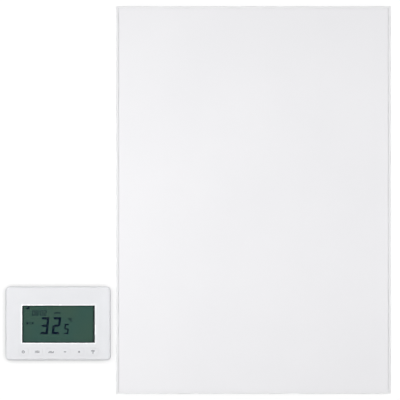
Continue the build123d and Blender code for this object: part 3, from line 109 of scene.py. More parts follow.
# ------------------------------------------------------------------ shader bench
class Bench:
    """Adds shader nodes to one tree and joins them."""

    def __init__(self, tree: bpy.types.NodeTree) -> None:
        """Clears the tree.

        Args:
            tree: the material's or world's node tree.
        """
        self.tree = tree
        tree.nodes.clear()

    def add(self, kind: str, inputs: dict | None = None, **settings: object) -> bpy.types.Node:
        """Adds a node.

        Args:
            kind: the node's type name, without its ShaderNode prefix.
            inputs: a value or a socket for each input, by name or place.
            settings: the node's own properties.

        Returns:
            The new node.
        """
        node = self.tree.nodes.new(f"ShaderNode{kind}")
        for name, value in settings.items():
            setattr(node, name, value)
        for name, value in (inputs or {}).items():
            if isinstance(value, Socket):
                self.tree.links.new(value, node.inputs[name])
            else:
                node.inputs[name].default_value = value
        return node

    def point(
        self, stretch: Sequence[float] = (1, 1, 1), turn: Sequence[float] = (0, 0, 0)
    ) -> Socket:
        """The point on the piece, with a pattern's stretch and turn.

        Args:
            stretch: how much denser the pattern is along each axis.
            turn: its turn about each axis, in radians.

        Returns:
            The mapped point.
        """
        place = self.add("TexCoord").outputs["Object"]
        return self.add(
            "Mapping", {"Vector": place, "Scale": stretch, "Rotation": turn}
        ).outputs["Vector"]

    def noise(self, point: Socket, size: float, detail: float = 2.0) -> Socket:
        """Soft noise from 0 to 1.

        Args:
            point: where it is read.
            size: its grain, in metres.
            detail: how many finer layers it has.

        Returns:
            The noise's value.
        """
        return self.add(
            "TexNoise", {"Vector": point, "Scale": 1 / size, "Detail": detail}
        ).outputs["Fac"]

    def spread(
        self, value: Socket, low: float, high: float, start: float = 0.3, end: float = 0.7
    ) -> Socket:
        """Takes a value's middle range to a new one.

        Args:
            value: the value to spread.
            low: what it becomes at start.
            high: what it becomes at end.
            start: the value's low end.
            end: the value's high end.

        Returns:
            The new value.
        """
        return self.add(
            "MapRange",
            {"Value": value, "From Min": start, "From Max": end, "To Min": low, "To Max": high},
        ).outputs["Result"]

    def calc(self, first: Socket | float, second: Socket | float, how: str = "ADD") -> Socket:
        """Joins two values by one step of arithmetic.

        Args:
            first: the first value.
            second: the second value.
            how: the step's name.

        Returns:
            The result.
        """
        return self.add("Math", {0: first, 1: second}, operation=how).outputs[0]

    def blend(self, factor: Socket, first: Socket | Colour, second: Socket | Colour) -> Socket:
        """A colour between two others.

        Args:
            factor: 0 gives the first and 1 the second.
            first: a colour.
            second: a colour.

        Returns:
            The mixed colour.
        """
        node = self.add("Mix", data_type="RGBA")
        for place, value in ((0, factor), (6, first), (7, second)):
            if isinstance(value, Socket):
                self.tree.links.new(value, node.inputs[place])
            else:
                node.inputs[place].default_value = (*value, 1.0)
        return node.outputs[2]


# ---------------------------------------------------------------------- finishes
class Grain(Enum):
    """How a surface varies close up."""

    POWDER = "powder coat, with a fine orange peel"
    # Draws powder coat with shade painted in a frame bar's channel, darkest at the left.
    POWDER_AND_CHANNEL_SHADE = "powder coat that thins out inside a frame bar's channel"
    MOULDED = "moulded plastic with an eroded texture"
    SMOOTH = "polished, with faint unevenness"
    ROLLED = "rolled or drawn metal, with lines along the panel's height"
    TURNED = "turned metal, with rings about the Y axis"
    SPANGLE = "galvanised sheet, with zinc crystals"
    FIBRE = "pressed fibres"
    WOVEN = "woven cloth"
    LAMINATE = "circuit laminate with tracks under its mask"
    SLEEVE = "printed sleeve with a band at one end"


@dataclass(frozen=True)
class Finish:
    """One finish: its colours, gloss and grain."""

    name: str
    colour: Colour
    shade: Colour
    roughness: tuple[float, float]
    grain: Grain
    size: float = 0.001
    relief: float = 0.00002
    metal: float = 0.0
    coat: float = 0.0
    specular: float = 0.5
    alpha: float = 1.0
    coat_roughness: float = 0.12

    def material(self) -> bpy.types.Material:
        """The finish's material, made the first time it is asked for.

        Returns:
            The material.
        """
        found = bpy.data.materials.get(self.name)
        if found is not None:
            return found
        made = bpy.data.materials.new(self.name)
        made.use_nodes = True
        bench = Bench(made.node_tree)
        tone, gloss, height = self.patterns()[self.grain](bench)
        colour = bench.blend(tone, self.colour, self.shade)
        bump = bench.add(
            "Bump", {"Height": height, "Distance": self.relief, "Strength": 1.0}
        ).outputs["Normal"]
        surface = bench.add(
            "BsdfPrincipled",
            {
                "Base Color": colour,
                "Roughness": bench.spread(gloss, *self.roughness),
                "Metallic": self.metal,
                "Coat Weight": self.coat,
                "Coat Roughness": self.coat_roughness,
                "Specular IOR Level": self.specular,
                "Alpha": self.alpha,
                "Normal": bump,
            },
        )
        bench.add("OutputMaterial", {"Surface": surface.outputs[0]})
        return made

    def patterns(self) -> dict[Grain, Callable[[Bench], Surface]]:
        """What draws each grain.

        Returns:
            A method for each grain, which gives its tone, gloss and height.
        """
        return {
            Grain.POWDER: self.powder,
            Grain.POWDER_AND_CHANNEL_SHADE: self.powder_and_channel_shade,
            Grain.MOULDED: self.moulded,
            Grain.SMOOTH: self.smooth,
            Grain.ROLLED: self.rolled,
            Grain.TURNED: self.turned,
            Grain.SPANGLE: self.spangle,
            Grain.FIBRE: self.fibre,
            Grain.WOVEN: self.woven,
            Grain.LAMINATE: self.laminate,
            Grain.SLEEVE: self.sleeve,
        }

    def powder(self, bench: Bench) -> Surface:
        """Broad faint clouds over a fine orange peel.

        Args:
            bench: the material's bench.

        Returns:
            Tone, gloss and height.
        """
        point = bench.point()
        clouds = bench.spread(bench.noise(point, CLOUDS.powder), 0.0, 1.0)
        peel = bench.noise(point, self.size, 3.0)
        return clouds, peel, peel

    def powder_and_channel_shade(self, bench: Bench) -> Surface:
        """The coat's faint clouds outside, and shade painted behind the frame's lip, darkest at
        the left and towards the top and bottom.

        Args:
            bench: the material's bench.

        Returns:
            Tone, gloss and height.
        """
        clouds, peel, height = self.powder(bench)
        x, y, z = bench.add("SeparateXYZ", {0: bench.point()}).outputs
        # Painted shade on the frame's surfaces inside the channel, behind the lip's front.
        painted_shade = bench.calc(y, CHANNEL.front, "GREATER_THAN")
        for along, reach in ((x, CHANNEL.half_width), (z, CHANNEL.half_height)):
            within = bench.calc(bench.calc(along, 0.0, "ABSOLUTE"), reach, "LESS_THAN")
            painted_shade = bench.calc(painted_shade, within, "MULTIPLY")
        # The painted shade is full at the left and none at the right, and fades out towards the
        # middle of the height.
        sides = bench.spread(x, *CHANNEL.painted_shade, -CHANNEL.half_width, CHANNEL.half_width)
        ends = bench.spread(bench.calc(z, 0.0, "ABSOLUTE"), 0.0, 1.0, *CHANNEL.painted_shade_ends)
        for share in (sides, ends):
            painted_shade = bench.calc(painted_shade, share, "MULTIPLY")
        tone = bench.calc(bench.calc(clouds, CHANNEL.clouds, "MULTIPLY"), painted_shade, "MAXIMUM")
        return tone, peel, height

    def moulded(self, bench: Bench) -> Surface:
        """Soft flow shading under an eroded texture.

        Args:
            bench: the material's bench.

        Returns:
            Tone, gloss and height.
        """
        point = bench.point()
        flow = bench.spread(bench.noise(point, CLOUDS.moulded), 0.0, 1.0)
        pits = bench.noise(point, self.size, 4.0)
        return flow, pits, pits

    def smooth(self, bench: Bench) -> Surface:
        """Slow changes of tone and gloss.

        Args:
            bench: the material's bench.

        Returns:
            Tone, gloss and height.
        """
        point = bench.point()
        tone = bench.spread(bench.noise(point, CLOUDS.smooth), 0.0, 1.0)
        haze = bench.noise(point, CLOUDS.haze)
        return tone, haze, bench.noise(point, self.size)

    def rolled(self, bench: Bench) -> Surface:
        """Fine lines along the height.

        Args:
            bench: the material's bench.

        Returns:
            Tone, gloss and height.
        """
        lines = bench.noise(bench.point((1, 1, LINES)), self.size, 3.0)
        clouds = bench.noise(bench.point(), CLOUDS.rolled)
        return bench.spread(lines, 0.0, 1.0), clouds, lines

    def turned(self, bench: Bench) -> Surface:
        """Rings left by a lathe about the Y axis.

        Args:
            bench: the material's bench.

        Returns:
            Tone, gloss and height.
        """
        rings = bench.noise(bench.point((LINES, 1, LINES)), self.size, 2.0)
        clouds = bench.noise(bench.point(), CLOUDS.turned)
        return bench.spread(rings, 0.0, 1.0), clouds, rings

    def spangle(self, bench: Bench) -> Surface:
        """Zinc crystals, each with its own tone.

        Args:
            bench: the material's bench.

        Returns:
            Tone, gloss and height.
        """
        point = bench.point()
        wander = bench.add(
            "TexNoise", {"Vector": point, "Scale": 0.5 / self.size, "Detail": 2.0}
        ).outputs["Color"]
        shift = bench.add("VectorMath", {0: wander, "Scale": self.size}, operation="SCALE")
        place = bench.add("VectorMath", {0: point, 1: shift.outputs[0]}, operation="ADD")
        crystals = bench.add(
            "TexVoronoi", {"Vector": place.outputs[0], "Scale": 1 / self.size}
        ).outputs["Color"]
        tone = bench.add("SeparateColor", {0: crystals}).outputs[0]
        return tone, tone, bench.noise(point, self.size / 8, 3.0)

    def fibre(self, bench: Bench) -> Surface:
        """Fibres that lie every way.

        Args:
            bench: the material's bench.

        Returns:
            Tone, gloss and height.
        """
        layers = [
            bench.noise(bench.point((1, 1, FIBRES), (0, turn, 0)), self.size, 3.0)
            for turn in FIBRE_TURNS
        ]
        tangle = bench.calc(bench.calc(layers[0], layers[1], "MAXIMUM"), layers[2], "MAXIMUM")
        tone = bench.spread(tangle, 0.0, 1.0, *TANGLE_TONE)
        return tone, tangle, tangle

    def woven(self, bench: Bench) -> Surface:
        """Threads over and under each other.

        Args:
            bench: the material's bench.

        Returns:
            Tone, gloss and height.
        """
        threads = [
            bench.add(
                "TexWave",
                {"Vector": bench.point(), "Scale": 1 / self.size, "Distortion": 0.4},
                bands_direction=way,
            ).outputs["Fac"]
            for way in ("X", "Z")
        ]
        cloth = bench.calc(threads[0], threads[1], "MULTIPLY")
        return bench.spread(cloth, 0.0, 1.0, *CLOTH_TONE), cloth, cloth

    def laminate(self, bench: Bench) -> Surface:
        """Copper tracks under a green mask.

        Args:
            bench: the material's bench.

        Returns:
            Tone, gloss and height.
        """
        point = bench.point((1, 0.001, 1))
        tracks = bench.add(
            "TexVoronoi",
            {"Vector": point, "Scale": 1 / self.size, "Randomness": 0.9},
            distance="CHEBYCHEV",
        ).outputs["Distance"]
        step = bench.calc(bench.calc(tracks, TRACKS_PER_CELL, "MULTIPLY"), 1.0, "PINGPONG")
        tone = bench.spread(step, 0.0, 1.0, *TRACK_TONE)
        return tone, bench.noise(bench.point(), CLOUDS.laminate), tone

    def sleeve(self, bench: Bench) -> Surface:
        """A plain sleeve with one printed band.

        Args:
            bench: the material's bench.

        Returns:
            Tone, gloss and height.
        """
        point = bench.point()
        along = bench.add("SeparateXYZ", {0: point}).outputs[0]
        offset = bench.calc(along, BAND_X, "SUBTRACT")
        band = bench.calc(bench.calc(offset, 0.0, "ABSOLUTE"), BAND_HALF, "LESS_THAN")
        fine = bench.noise(point, self.size, 2.0)
        return band, fine, fine


PLATE_COAT = Finish(
    "plate_powder_coat", (0.900, 0.893, 0.906), (0.882, 0.876, 0.890), (0.42, 0.56),
    Grain.POWDER, 0.0011, 0.00003,
)
# Its second colour is the painted shade inside the channel; the coat's clouds take a little of it.
FRAME_COAT = Finish(
    "frame_powder_coat", (0.900, 0.897, 0.905), (0.840, 0.838, 0.846), (0.34, 0.46),
    Grain.POWDER_AND_CHANNEL_SHADE, 0.0009, 0.00002,
)
BARE_ALUMINIUM = Finish(
    "rolled_aluminium", (0.80, 0.81, 0.83), (0.68, 0.69, 0.71), (0.22, 0.36),
    Grain.ROLLED, 0.0004, 0.00001, metal=1.0,
)
GALVANISED = Finish(
    "galvanised_sheet", (0.62, 0.64, 0.66), (0.47, 0.49, 0.51), (0.34, 0.52),
    Grain.SPANGLE, 0.007, 0.00003, metal=1.0,
)
TURNED_STEEL = Finish(
    "turned_zinc_plate", (0.66, 0.67, 0.69), (0.52, 0.53, 0.55), (0.22, 0.36),
    Grain.TURNED, 0.0003, 0.00002, metal=1.0,
)
SCREW_ZINC = Finish(
    "screw_zinc", (0.72, 0.73, 0.76), (0.56, 0.57, 0.60), (0.24, 0.40),
    Grain.TURNED, 0.0005, 0.00001, metal=1.0,
)
BONDING_TAPE = Finish(
    "foam_tape", (0.76, 0.76, 0.74), (0.66, 0.66, 0.63), (0.70, 0.90),
    Grain.MOULDED, 0.0008, 0.00008,
)
AMBER_FILM = Finish(
    "amber_film", (0.42, 0.16, 0.018), (0.34, 0.12, 0.012), (0.12, 0.22),
    Grain.SMOOTH, 0.004, 0.00002, coat=0.5,
)
RESISTANCE_STRIP = Finish(
    "resistance_strip", (0.42, 0.40, 0.37), (0.30, 0.28, 0.26), (0.28, 0.44),
    Grain.ROLLED, 0.0005, 0.00001, metal=1.0,
)
GLASS_MAT = Finish(
    "woven_glass", (0.52, 0.49, 0.42), (0.74, 0.72, 0.66), (0.62, 0.85),
    Grain.WOVEN, 0.006, 0.0002,
)
MINERAL_BOARD = Finish(
    "mineral_fibre", (0.26, 0.22, 0.14), (0.50, 0.45, 0.31), (0.85, 1.0),
    Grain.FIBRE, 0.0012, 0.0004,
)
BLACK_PLASTIC = Finish(
    "black_moulding", (0.026, 0.026, 0.028), (0.040, 0.040, 0.043), (0.42, 0.60),
    Grain.MOULDED, 0.0007, 0.00004,
)
BEZEL_PLASTIC = Finish(
    "bezel_moulding", (0.006, 0.020, 0.018), (0.009, 0.026, 0.024), (0.45, 0.60),
    Grain.MOULDED, 0.0006, 0.00002, specular=0.1,
)
CREAM_PLASTIC = Finish(
    "cream_moulding", (0.62, 0.58, 0.46), (0.55, 0.51, 0.39), (0.36, 0.50),
    Grain.MOULDED, 0.0008, 0.00003,
)
PHENOLIC = Finish(
    "brown_moulding", (0.055, 0.026, 0.012), (0.085, 0.042, 0.020), (0.30, 0.48),
    Grain.MOULDED, 0.0005, 0.00003,
)
BLACK_RUBBER = Finish(
    "black_rubber", (0.018, 0.018, 0.018), (0.032, 0.032, 0.031), (0.62, 0.82),
    Grain.MOULDED, 0.0008, 0.00005,
)
SILICONE = Finish(
    "silicone_lead", (0.30, 0.045, 0.020), (0.24, 0.034, 0.015), (0.45, 0.60),
    Grain.MOULDED, 0.0010, 0.00003,
)
BRASS = Finish(
    "plated_brass", (0.72, 0.52, 0.22), (0.56, 0.38, 0.15), (0.20, 0.36),
    Grain.TURNED, 0.0004, 0.00001, metal=1.0,
)
LAMINATE = Finish(
    "circuit_laminate", (0.012, 0.105, 0.038), (0.030, 0.200, 0.075), (0.22, 0.36),
    Grain.LAMINATE, 0.011, 0.00002, coat=0.3,
)
HOUSING_PLASTIC = Finish(
    "white_moulding", (0.794, 0.798, 0.816), (0.779, 0.783, 0.801), (0.36, 0.48),
    Grain.MOULDED, 0.0009, 0.00002,
)
WINDOW = Finish(
    "clear_window", (0.010, 0.024, 0.020), (0.014, 0.030, 0.026), (0.05, 0.10),
    Grain.SMOOTH, 0.02, 0.00001, alpha=0.08, specular=0.4,
)
DISPLAY = Finish(
    "display_sheet", (0.047, 0.117, 0.095), (0.061, 0.121, 0.086), (0.45, 0.60),
    Grain.SMOOTH, 0.01, 0.00001, specular=0.05,
)
LIGHT_GUIDE = Finish(
    "milky_guide", (0.78, 0.81, 0.80), (0.70, 0.74, 0.73), (0.20, 0.34),
    Grain.SMOOTH, 0.004, 0.00002,
)
CELL_SLEEVE = Finish(
    "cell_sleeve", (0.045, 0.075, 0.150), (0.62, 0.64, 0.66), (0.26, 0.38),
    Grain.SLEEVE, 0.002, 0.00001, coat=0.3,
)
DISPLAY_INK = Finish(
    "display_ink", (0.0005, 0.005, 0.022), (0.0005, 0.007, 0.028), (0.45, 0.60),
    Grain.SMOOTH, 0.002, 0.00001, specular=0.02,
)
KEY_INK = Finish(
    "grey_key_ink", (0.075, 0.080, 0.100), (0.100, 0.106, 0.126), (0.45, 0.60),
    Grain.MOULDED, 0.0004, 0.00001,
)
# A painted highlight: a near-white ring for the bright line round the display window.
PAINTED_HIGHLIGHT = Finish(
    "painted_highlight_ring", (0.99, 0.995, 1.0), (0.97, 0.98, 0.99), (0.20, 0.30),
    Grain.SMOOTH, 0.004, 0.00001, metal=0.4, coat=0.6,
)


def dress(finish: Finish, *nodes: str) -> None:
    """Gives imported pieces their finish.

    Args:
        finish: the finish.
        nodes: the pieces' names.
    """
    for name in nodes:
        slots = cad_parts[name].data.materials
        slots.clear()
        slots.append(finish.material())
        log.info("%s wears %s", name, finish.name)


# ------------------------------------------------------------ modelling by hand
def start_clean() -> None:
    """Leaves edit mode and selects nothing."""
    if bpy.context.object is not None and bpy.context.object.mode != "OBJECT":
        bpy.ops.object.mode_set(mode="OBJECT")
    bpy.ops.object.select_all(action="DESELECT")


def pick(test: Callable[[Vector], bool]) -> None:
    """Selects the edited mesh's vertices that pass a test.

    Args:
        test: says by a vertex's place whether it is selected.
    """
    mesh = bmesh.from_edit_mesh(bpy.context.object.data)
    bpy.ops.mesh.select_mode(type="VERT")
    for vertex in mesh.verts:
        vertex.select_set(test(vertex.co))
    mesh.select_flush_mode()
    bmesh.update_edit_mesh(bpy.context.object.data)


def thicken(height: float) -> None:
    """Extrudes the edited flat face towards the room and turns all faces outwards.

    Args:
        height: how far it stands out.
    """
    bpy.ops.mesh.select_all(action="SELECT")
    bpy.ops.mesh.extrude_region_move(TRANSFORM_OT_translate={"value": (0, -height, 0)})
    bpy.ops.mesh.select_all(action="SELECT")
    bpy.ops.mesh.remove_doubles(threshold=WELD)
    bpy.ops.mesh.normals_make_consistent(inside=False)
    bpy.ops.object.mode_set(mode="OBJECT")
    bpy.ops.object.transform_apply(location=True, rotation=True, scale=True)


def copy_of(piece: Piece, move: Matrix) -> Piece:
    """A copy with a mesh of its own, moved in that mesh.

    Args:
        piece: the piece to copy.
        move: where the copy goes.

    Returns:
        The copy.
    """
    twin = piece.copy()
    twin.data = piece.data.copy()
    twin.data.transform(move)
    bpy.context.scene.collection.objects.link(twin)
    return twin


def join_as(name: str, parts: Sequence[Piece]) -> Piece:
    """Joins parts to one named piece.

    Args:
        name: the piece's name.
        parts: what it is made of.

    Returns:
        The joined piece.
    """
    start_clean()
    for part in parts:
        part.select_set(True)
    bpy.context.view_layer.objects.active = parts[0]
    if len(parts) > 1:
        bpy.ops.object.join()
    piece = bpy.context.object
    piece.name = piece.data.name = name
    return piece


@dataclass(frozen=True)
class Press:
    """Prints flat marks on a face that looks at the room."""

    face: float
    height: float

    def bar(self, centre: Spot, width: float, height: float, corner: float = 0.0) -> Piece:
        """A bar with softened corners.

        Args:
            centre: its middle, X and Z.
            width: its length along X.
            height: its length along Z.
            corner: how much each corner is cut.

        Returns:
            The bar.
        """
        start_clean()
        bpy.ops.mesh.primitive_plane_add(
            size=1, location=(centre[0], self.face, centre[1]), rotation=(math.pi / 2, 0, 0)
        )
        bpy.context.object.scale = (width, height, 1)
        bpy.ops.object.transform_apply(location=False, rotation=True, scale=True)
        bpy.ops.object.mode_set(mode="EDIT")
        if corner:
            bpy.ops.mesh.select_all(action="SELECT")
            bpy.ops.mesh.bevel(offset=corner, segments=3, affect="VERTICES")
        thicken(self.height)
        return bpy.context.object

    def rim_stroke(self, length: float, width: float, cuts: tuple[float, float]) -> Piece:
        """A stroke at a digit's rim, about the origin, with its long edge up.

        Args:
            length: the length of its long edge.
            width: how wide it is.
            cuts: how much shorter its other edge is at the left and at the right.

        Returns:
            The stroke.
        """
        stroke = self.blank()
        bpy.ops.mesh.select_all(action="SELECT")
        bpy.ops.transform.resize(value=(length, 1, width), center_override=(0, 0, 0))
        for way, cut in zip((-1, 1), cuts):
            pick(lambda co, way=way: co.z < 0 and co.x * way > 0)
            bpy.ops.transform.translate(value=(-way * cut, 0, 0))
        thicken(self.height)
        return stroke

    def middle_stroke(self, length: float, width: float) -> Piece:
        """A stroke across a digit's middle, about the origin, with a point at each end.

        Args:
            length: its length from point to point.
            width: how wide it is, and how long each point is.

        Returns:
            The stroke.
        """
        stroke = self.blank()
        bpy.ops.mesh.select_all(action="SELECT")
        bpy.ops.transform.resize(
            value=(length - 2 * width, 1, width), center_override=(0, 0, 0)
        )
        for way in (-1, 1):
            pick(lambda co, way=way: co.x * way > 0)
            bpy.ops.mesh.subdivide(number_cuts=1)
            pick(lambda co, way=way: co.x * way > 0 and abs(co.z) < width / 4)
            bpy.ops.transform.translate(value=(way * width, 0, 0))
        thicken(self.height)
        return stroke

    def blank(self) -> Piece:
        """A square face of size 1 about the origin at the press's depth, in edit mode.

        Returns:
            The face.
        """
        start_clean()
        bpy.ops.mesh.primitive_plane_add(
            size=1, location=(0, self.face, 0), rotation=(math.pi / 2, 0, 0)
        )
        bpy.ops.object.transform_apply(location=True, rotation=True, scale=True)
        bpy.ops.object.mode_set(mode="EDIT")
        return bpy.context.object

    def arc(
        self, centre: Spot, radius: float, width: float, start: float, turn: float, steps: int = 20
    ) -> Piece:
        """Part of a ring, or a whole one.

        Args:
            centre: its middle, X and Z.
            radius: to the middle of its width.
            width: how wide it is.
            start: where it starts, in degrees from the right, anticlockwise as seen.
            turn: how far it turns, in degrees.
            steps: how many pieces it has.

        Returns:
            The arc.
        """
        start_clean()
        bpy.ops.mesh.primitive_plane_add(size=1, location=(0, 0, 0))
        piece = bpy.context.object
        bpy.ops.object.mode_set(mode="EDIT")
        pick(lambda co: co.y > 0)
        bpy.ops.mesh.delete(type="VERT")
        bpy.ops.mesh.select_all(action="SELECT")
        bpy.ops.mesh.remove_doubles(threshold=WELD)
        mesh = bmesh.from_edit_mesh(piece.data)
        angle = math.radians(start)
        ends = (radius - width / 2, radius + width / 2)
        for vertex, reach in zip(mesh.verts, ends):
            vertex.co = (reach * math.cos(angle), 0, reach * math.sin(angle))
        bmesh.update_edit_mesh(piece.data)
        bpy.ops.mesh.spin(
            steps=steps, angle=math.radians(turn), center=(0, 0, 0), axis=(0, 1, 0)
        )
        thicken(self.height)
        piece.data.transform(Matrix.Translation((centre[0], self.face, centre[1])))
        return piece

    def disc(self, centre: Spot, radius: float) -> Piece:
        """A round dot.

        Args:
            centre: its middle, X and Z.
            radius: its radius.

        Returns:
            The dot.
        """
        start_clean()
        bpy.ops.mesh.primitive_circle_add(
            vertices=16, radius=radius, fill_type="NGON",
            location=(centre[0], self.face, centre[1]), rotation=(math.pi / 2, 0, 0),
        )
        bpy.ops.object.mode_set(mode="EDIT")
        bpy.ops.mesh.inset(thickness=radius / 4, depth=0)
        thicken(self.height)
        return bpy.context.object


# ------------------------------------------------------------------- the picture
@dataclass(frozen=True)
class Picture:
    """Where the photograph's frame lies on the object."""

    pixel: float = 0.0015347
    middle: float = 200.0
    centre: Spot = (-0.0820, 0.0002)

    def spot(self, across: float, down: float) -> Spot:
        """The X and Z under a place in the frame.

        Args:
            across: pixels from the left.
            down: pixels from the top.

        Returns:
            X and Z in metres.
        """
        return (
            self.centre[0] + (across - self.middle) * self.pixel,
            self.centre[1] - (down - self.middle) * self.pixel,
        )


PICTURE = Picture()


# --------------------------------------------------------------- sub-assemblies
@dataclass
class WallFixings:
    """What is screwed to the wall: four standoffs and the thermostat's plate."""

    def build(self) -> None:
        """Dresses the fixings."""
        dress(TURNED_STEEL, "wall_standoffs")
        dress(HOUSING_PLASTIC, "thermostat_wall_plate")


@dataclass
class Panel:
    """The heating panel: frame, plate, element, insulation and rear cover."""

    def build(self) -> None:
        """Dresses the panel from front to back."""
        dress(PLATE_COAT, "front_plate")
        dress(FRAME_COAT, "frame_left", "frame_right", "frame_top", "frame_bottom")
        dress(BARE_ALUMINIUM, "corner_keys", "reflector_foil")
        dress(BONDING_TAPE, "plate_tape")
        dress(AMBER_FILM, "insulating_film")
        dress(RESISTANCE_STRIP, "heating_conductor")
        dress(GLASS_MAT, "carrier_mat")
        dress(MINERAL_BOARD, "insulation_board")
        dress(GALVANISED, "rear_cover", "wall_brackets")
        dress(SCREW_ZINC, "cover_screws", "bracket_rivets", "box_rivets")


@dataclass
class TerminalBox:
    """The wiring box on the rear cover, with what stands in it."""

    def build(self) -> None:
        """Dresses the box, its gland and its wiring."""
        dress(BLACK_PLASTIC, "terminal_box", "terminal_lid")
        dress(BLACK_PLASTIC, "gland_body", "gland_locknut", "gland_nut")
        dress(BLACK_RUBBER, "gland_seal", "lead_grommet")
        dress(SCREW_ZINC, "lid_screws", "pole_screws")
        dress(SILICONE, "heater_leads")
        dress(CREAM_PLASTIC, "terminal_block")
        dress(LAMINATE, "receiver_board")
        dress(BLACK_PLASTIC, "relay")
        dress(PHENOLIC, "thermal_cutout")
        dress(BRASS, "earth_terminal")


class Digit(Enum):
    """Which of the seven strokes a digit lights: top, upper left, upper right, middle,
    lower left, lower right and bottom."""

    ZERO = "1110111"
    TWO = "1011101"
    THREE = "1011011"
    FIVE = "1101011"
    EIGHT = "1111111"


@dataclass(frozen=True)
class DigitSize:
    """The size of one row of digits."""

    width: float
    height: float
    stroke: float
    gap: float
    slant: float = math.radians(5.5)

    def place(self, press: Press, digit: Digit, corner: Spot) -> Marks:
        """Prints a digit.

        Args:
            press: what prints it.
            digit: which strokes it lights.
            corner: the X and Z of its lower left corner.

        Returns:
            The strokes.
        """
        middle = (corner[0] + self.width / 2, corner[1] + self.height / 2)
        side = (self.width - self.stroke) / 2
        rise = (self.height - self.stroke) / 2
        half, whole = self.stroke / 2, self.stroke
        across = press.rim_stroke(self.width - self.gap, self.stroke, (half, half))
        tall = self.height / 2 - self.gap
        rising = press.rim_stroke(tall, self.stroke, (half, whole))
        falling = press.rim_stroke(tall, self.stroke, (whole, half))
        bridge = press.middle_stroke(self.width - 2 * self.gap, self.stroke)
        quarter = self.height / 4
        places = (
            (across, 0, (0, rise)),
            (rising, 90, (-side, quarter)),
            (falling, -90, (side, quarter)),
            (bridge, 0, (0, 0)),
            (falling, 90, (-side, -quarter)),
            (rising, -90, (side, -quarter)),
            (across, 180, (0, -rise)),
        )
        lean = Matrix.Identity(4)
        lean[0][2] = math.tan(self.slant)
        lean[0][3] = -corner[1] * math.tan(self.slant)
        strokes = []
        for lit, (form, turn, (x, z)) in zip(digit.value, places):
            if lit == "1":
                place = Matrix.Translation((middle[0] + x, 0, middle[1] + z))
                turned = place @ Matrix.Rotation(math.radians(-turn), 4, "Y")
                strokes.append(copy_of(form, lean @ turned))
        for form in (across, rising, falling, bridge):
            bpy.data.objects.remove(form)
        return strokes


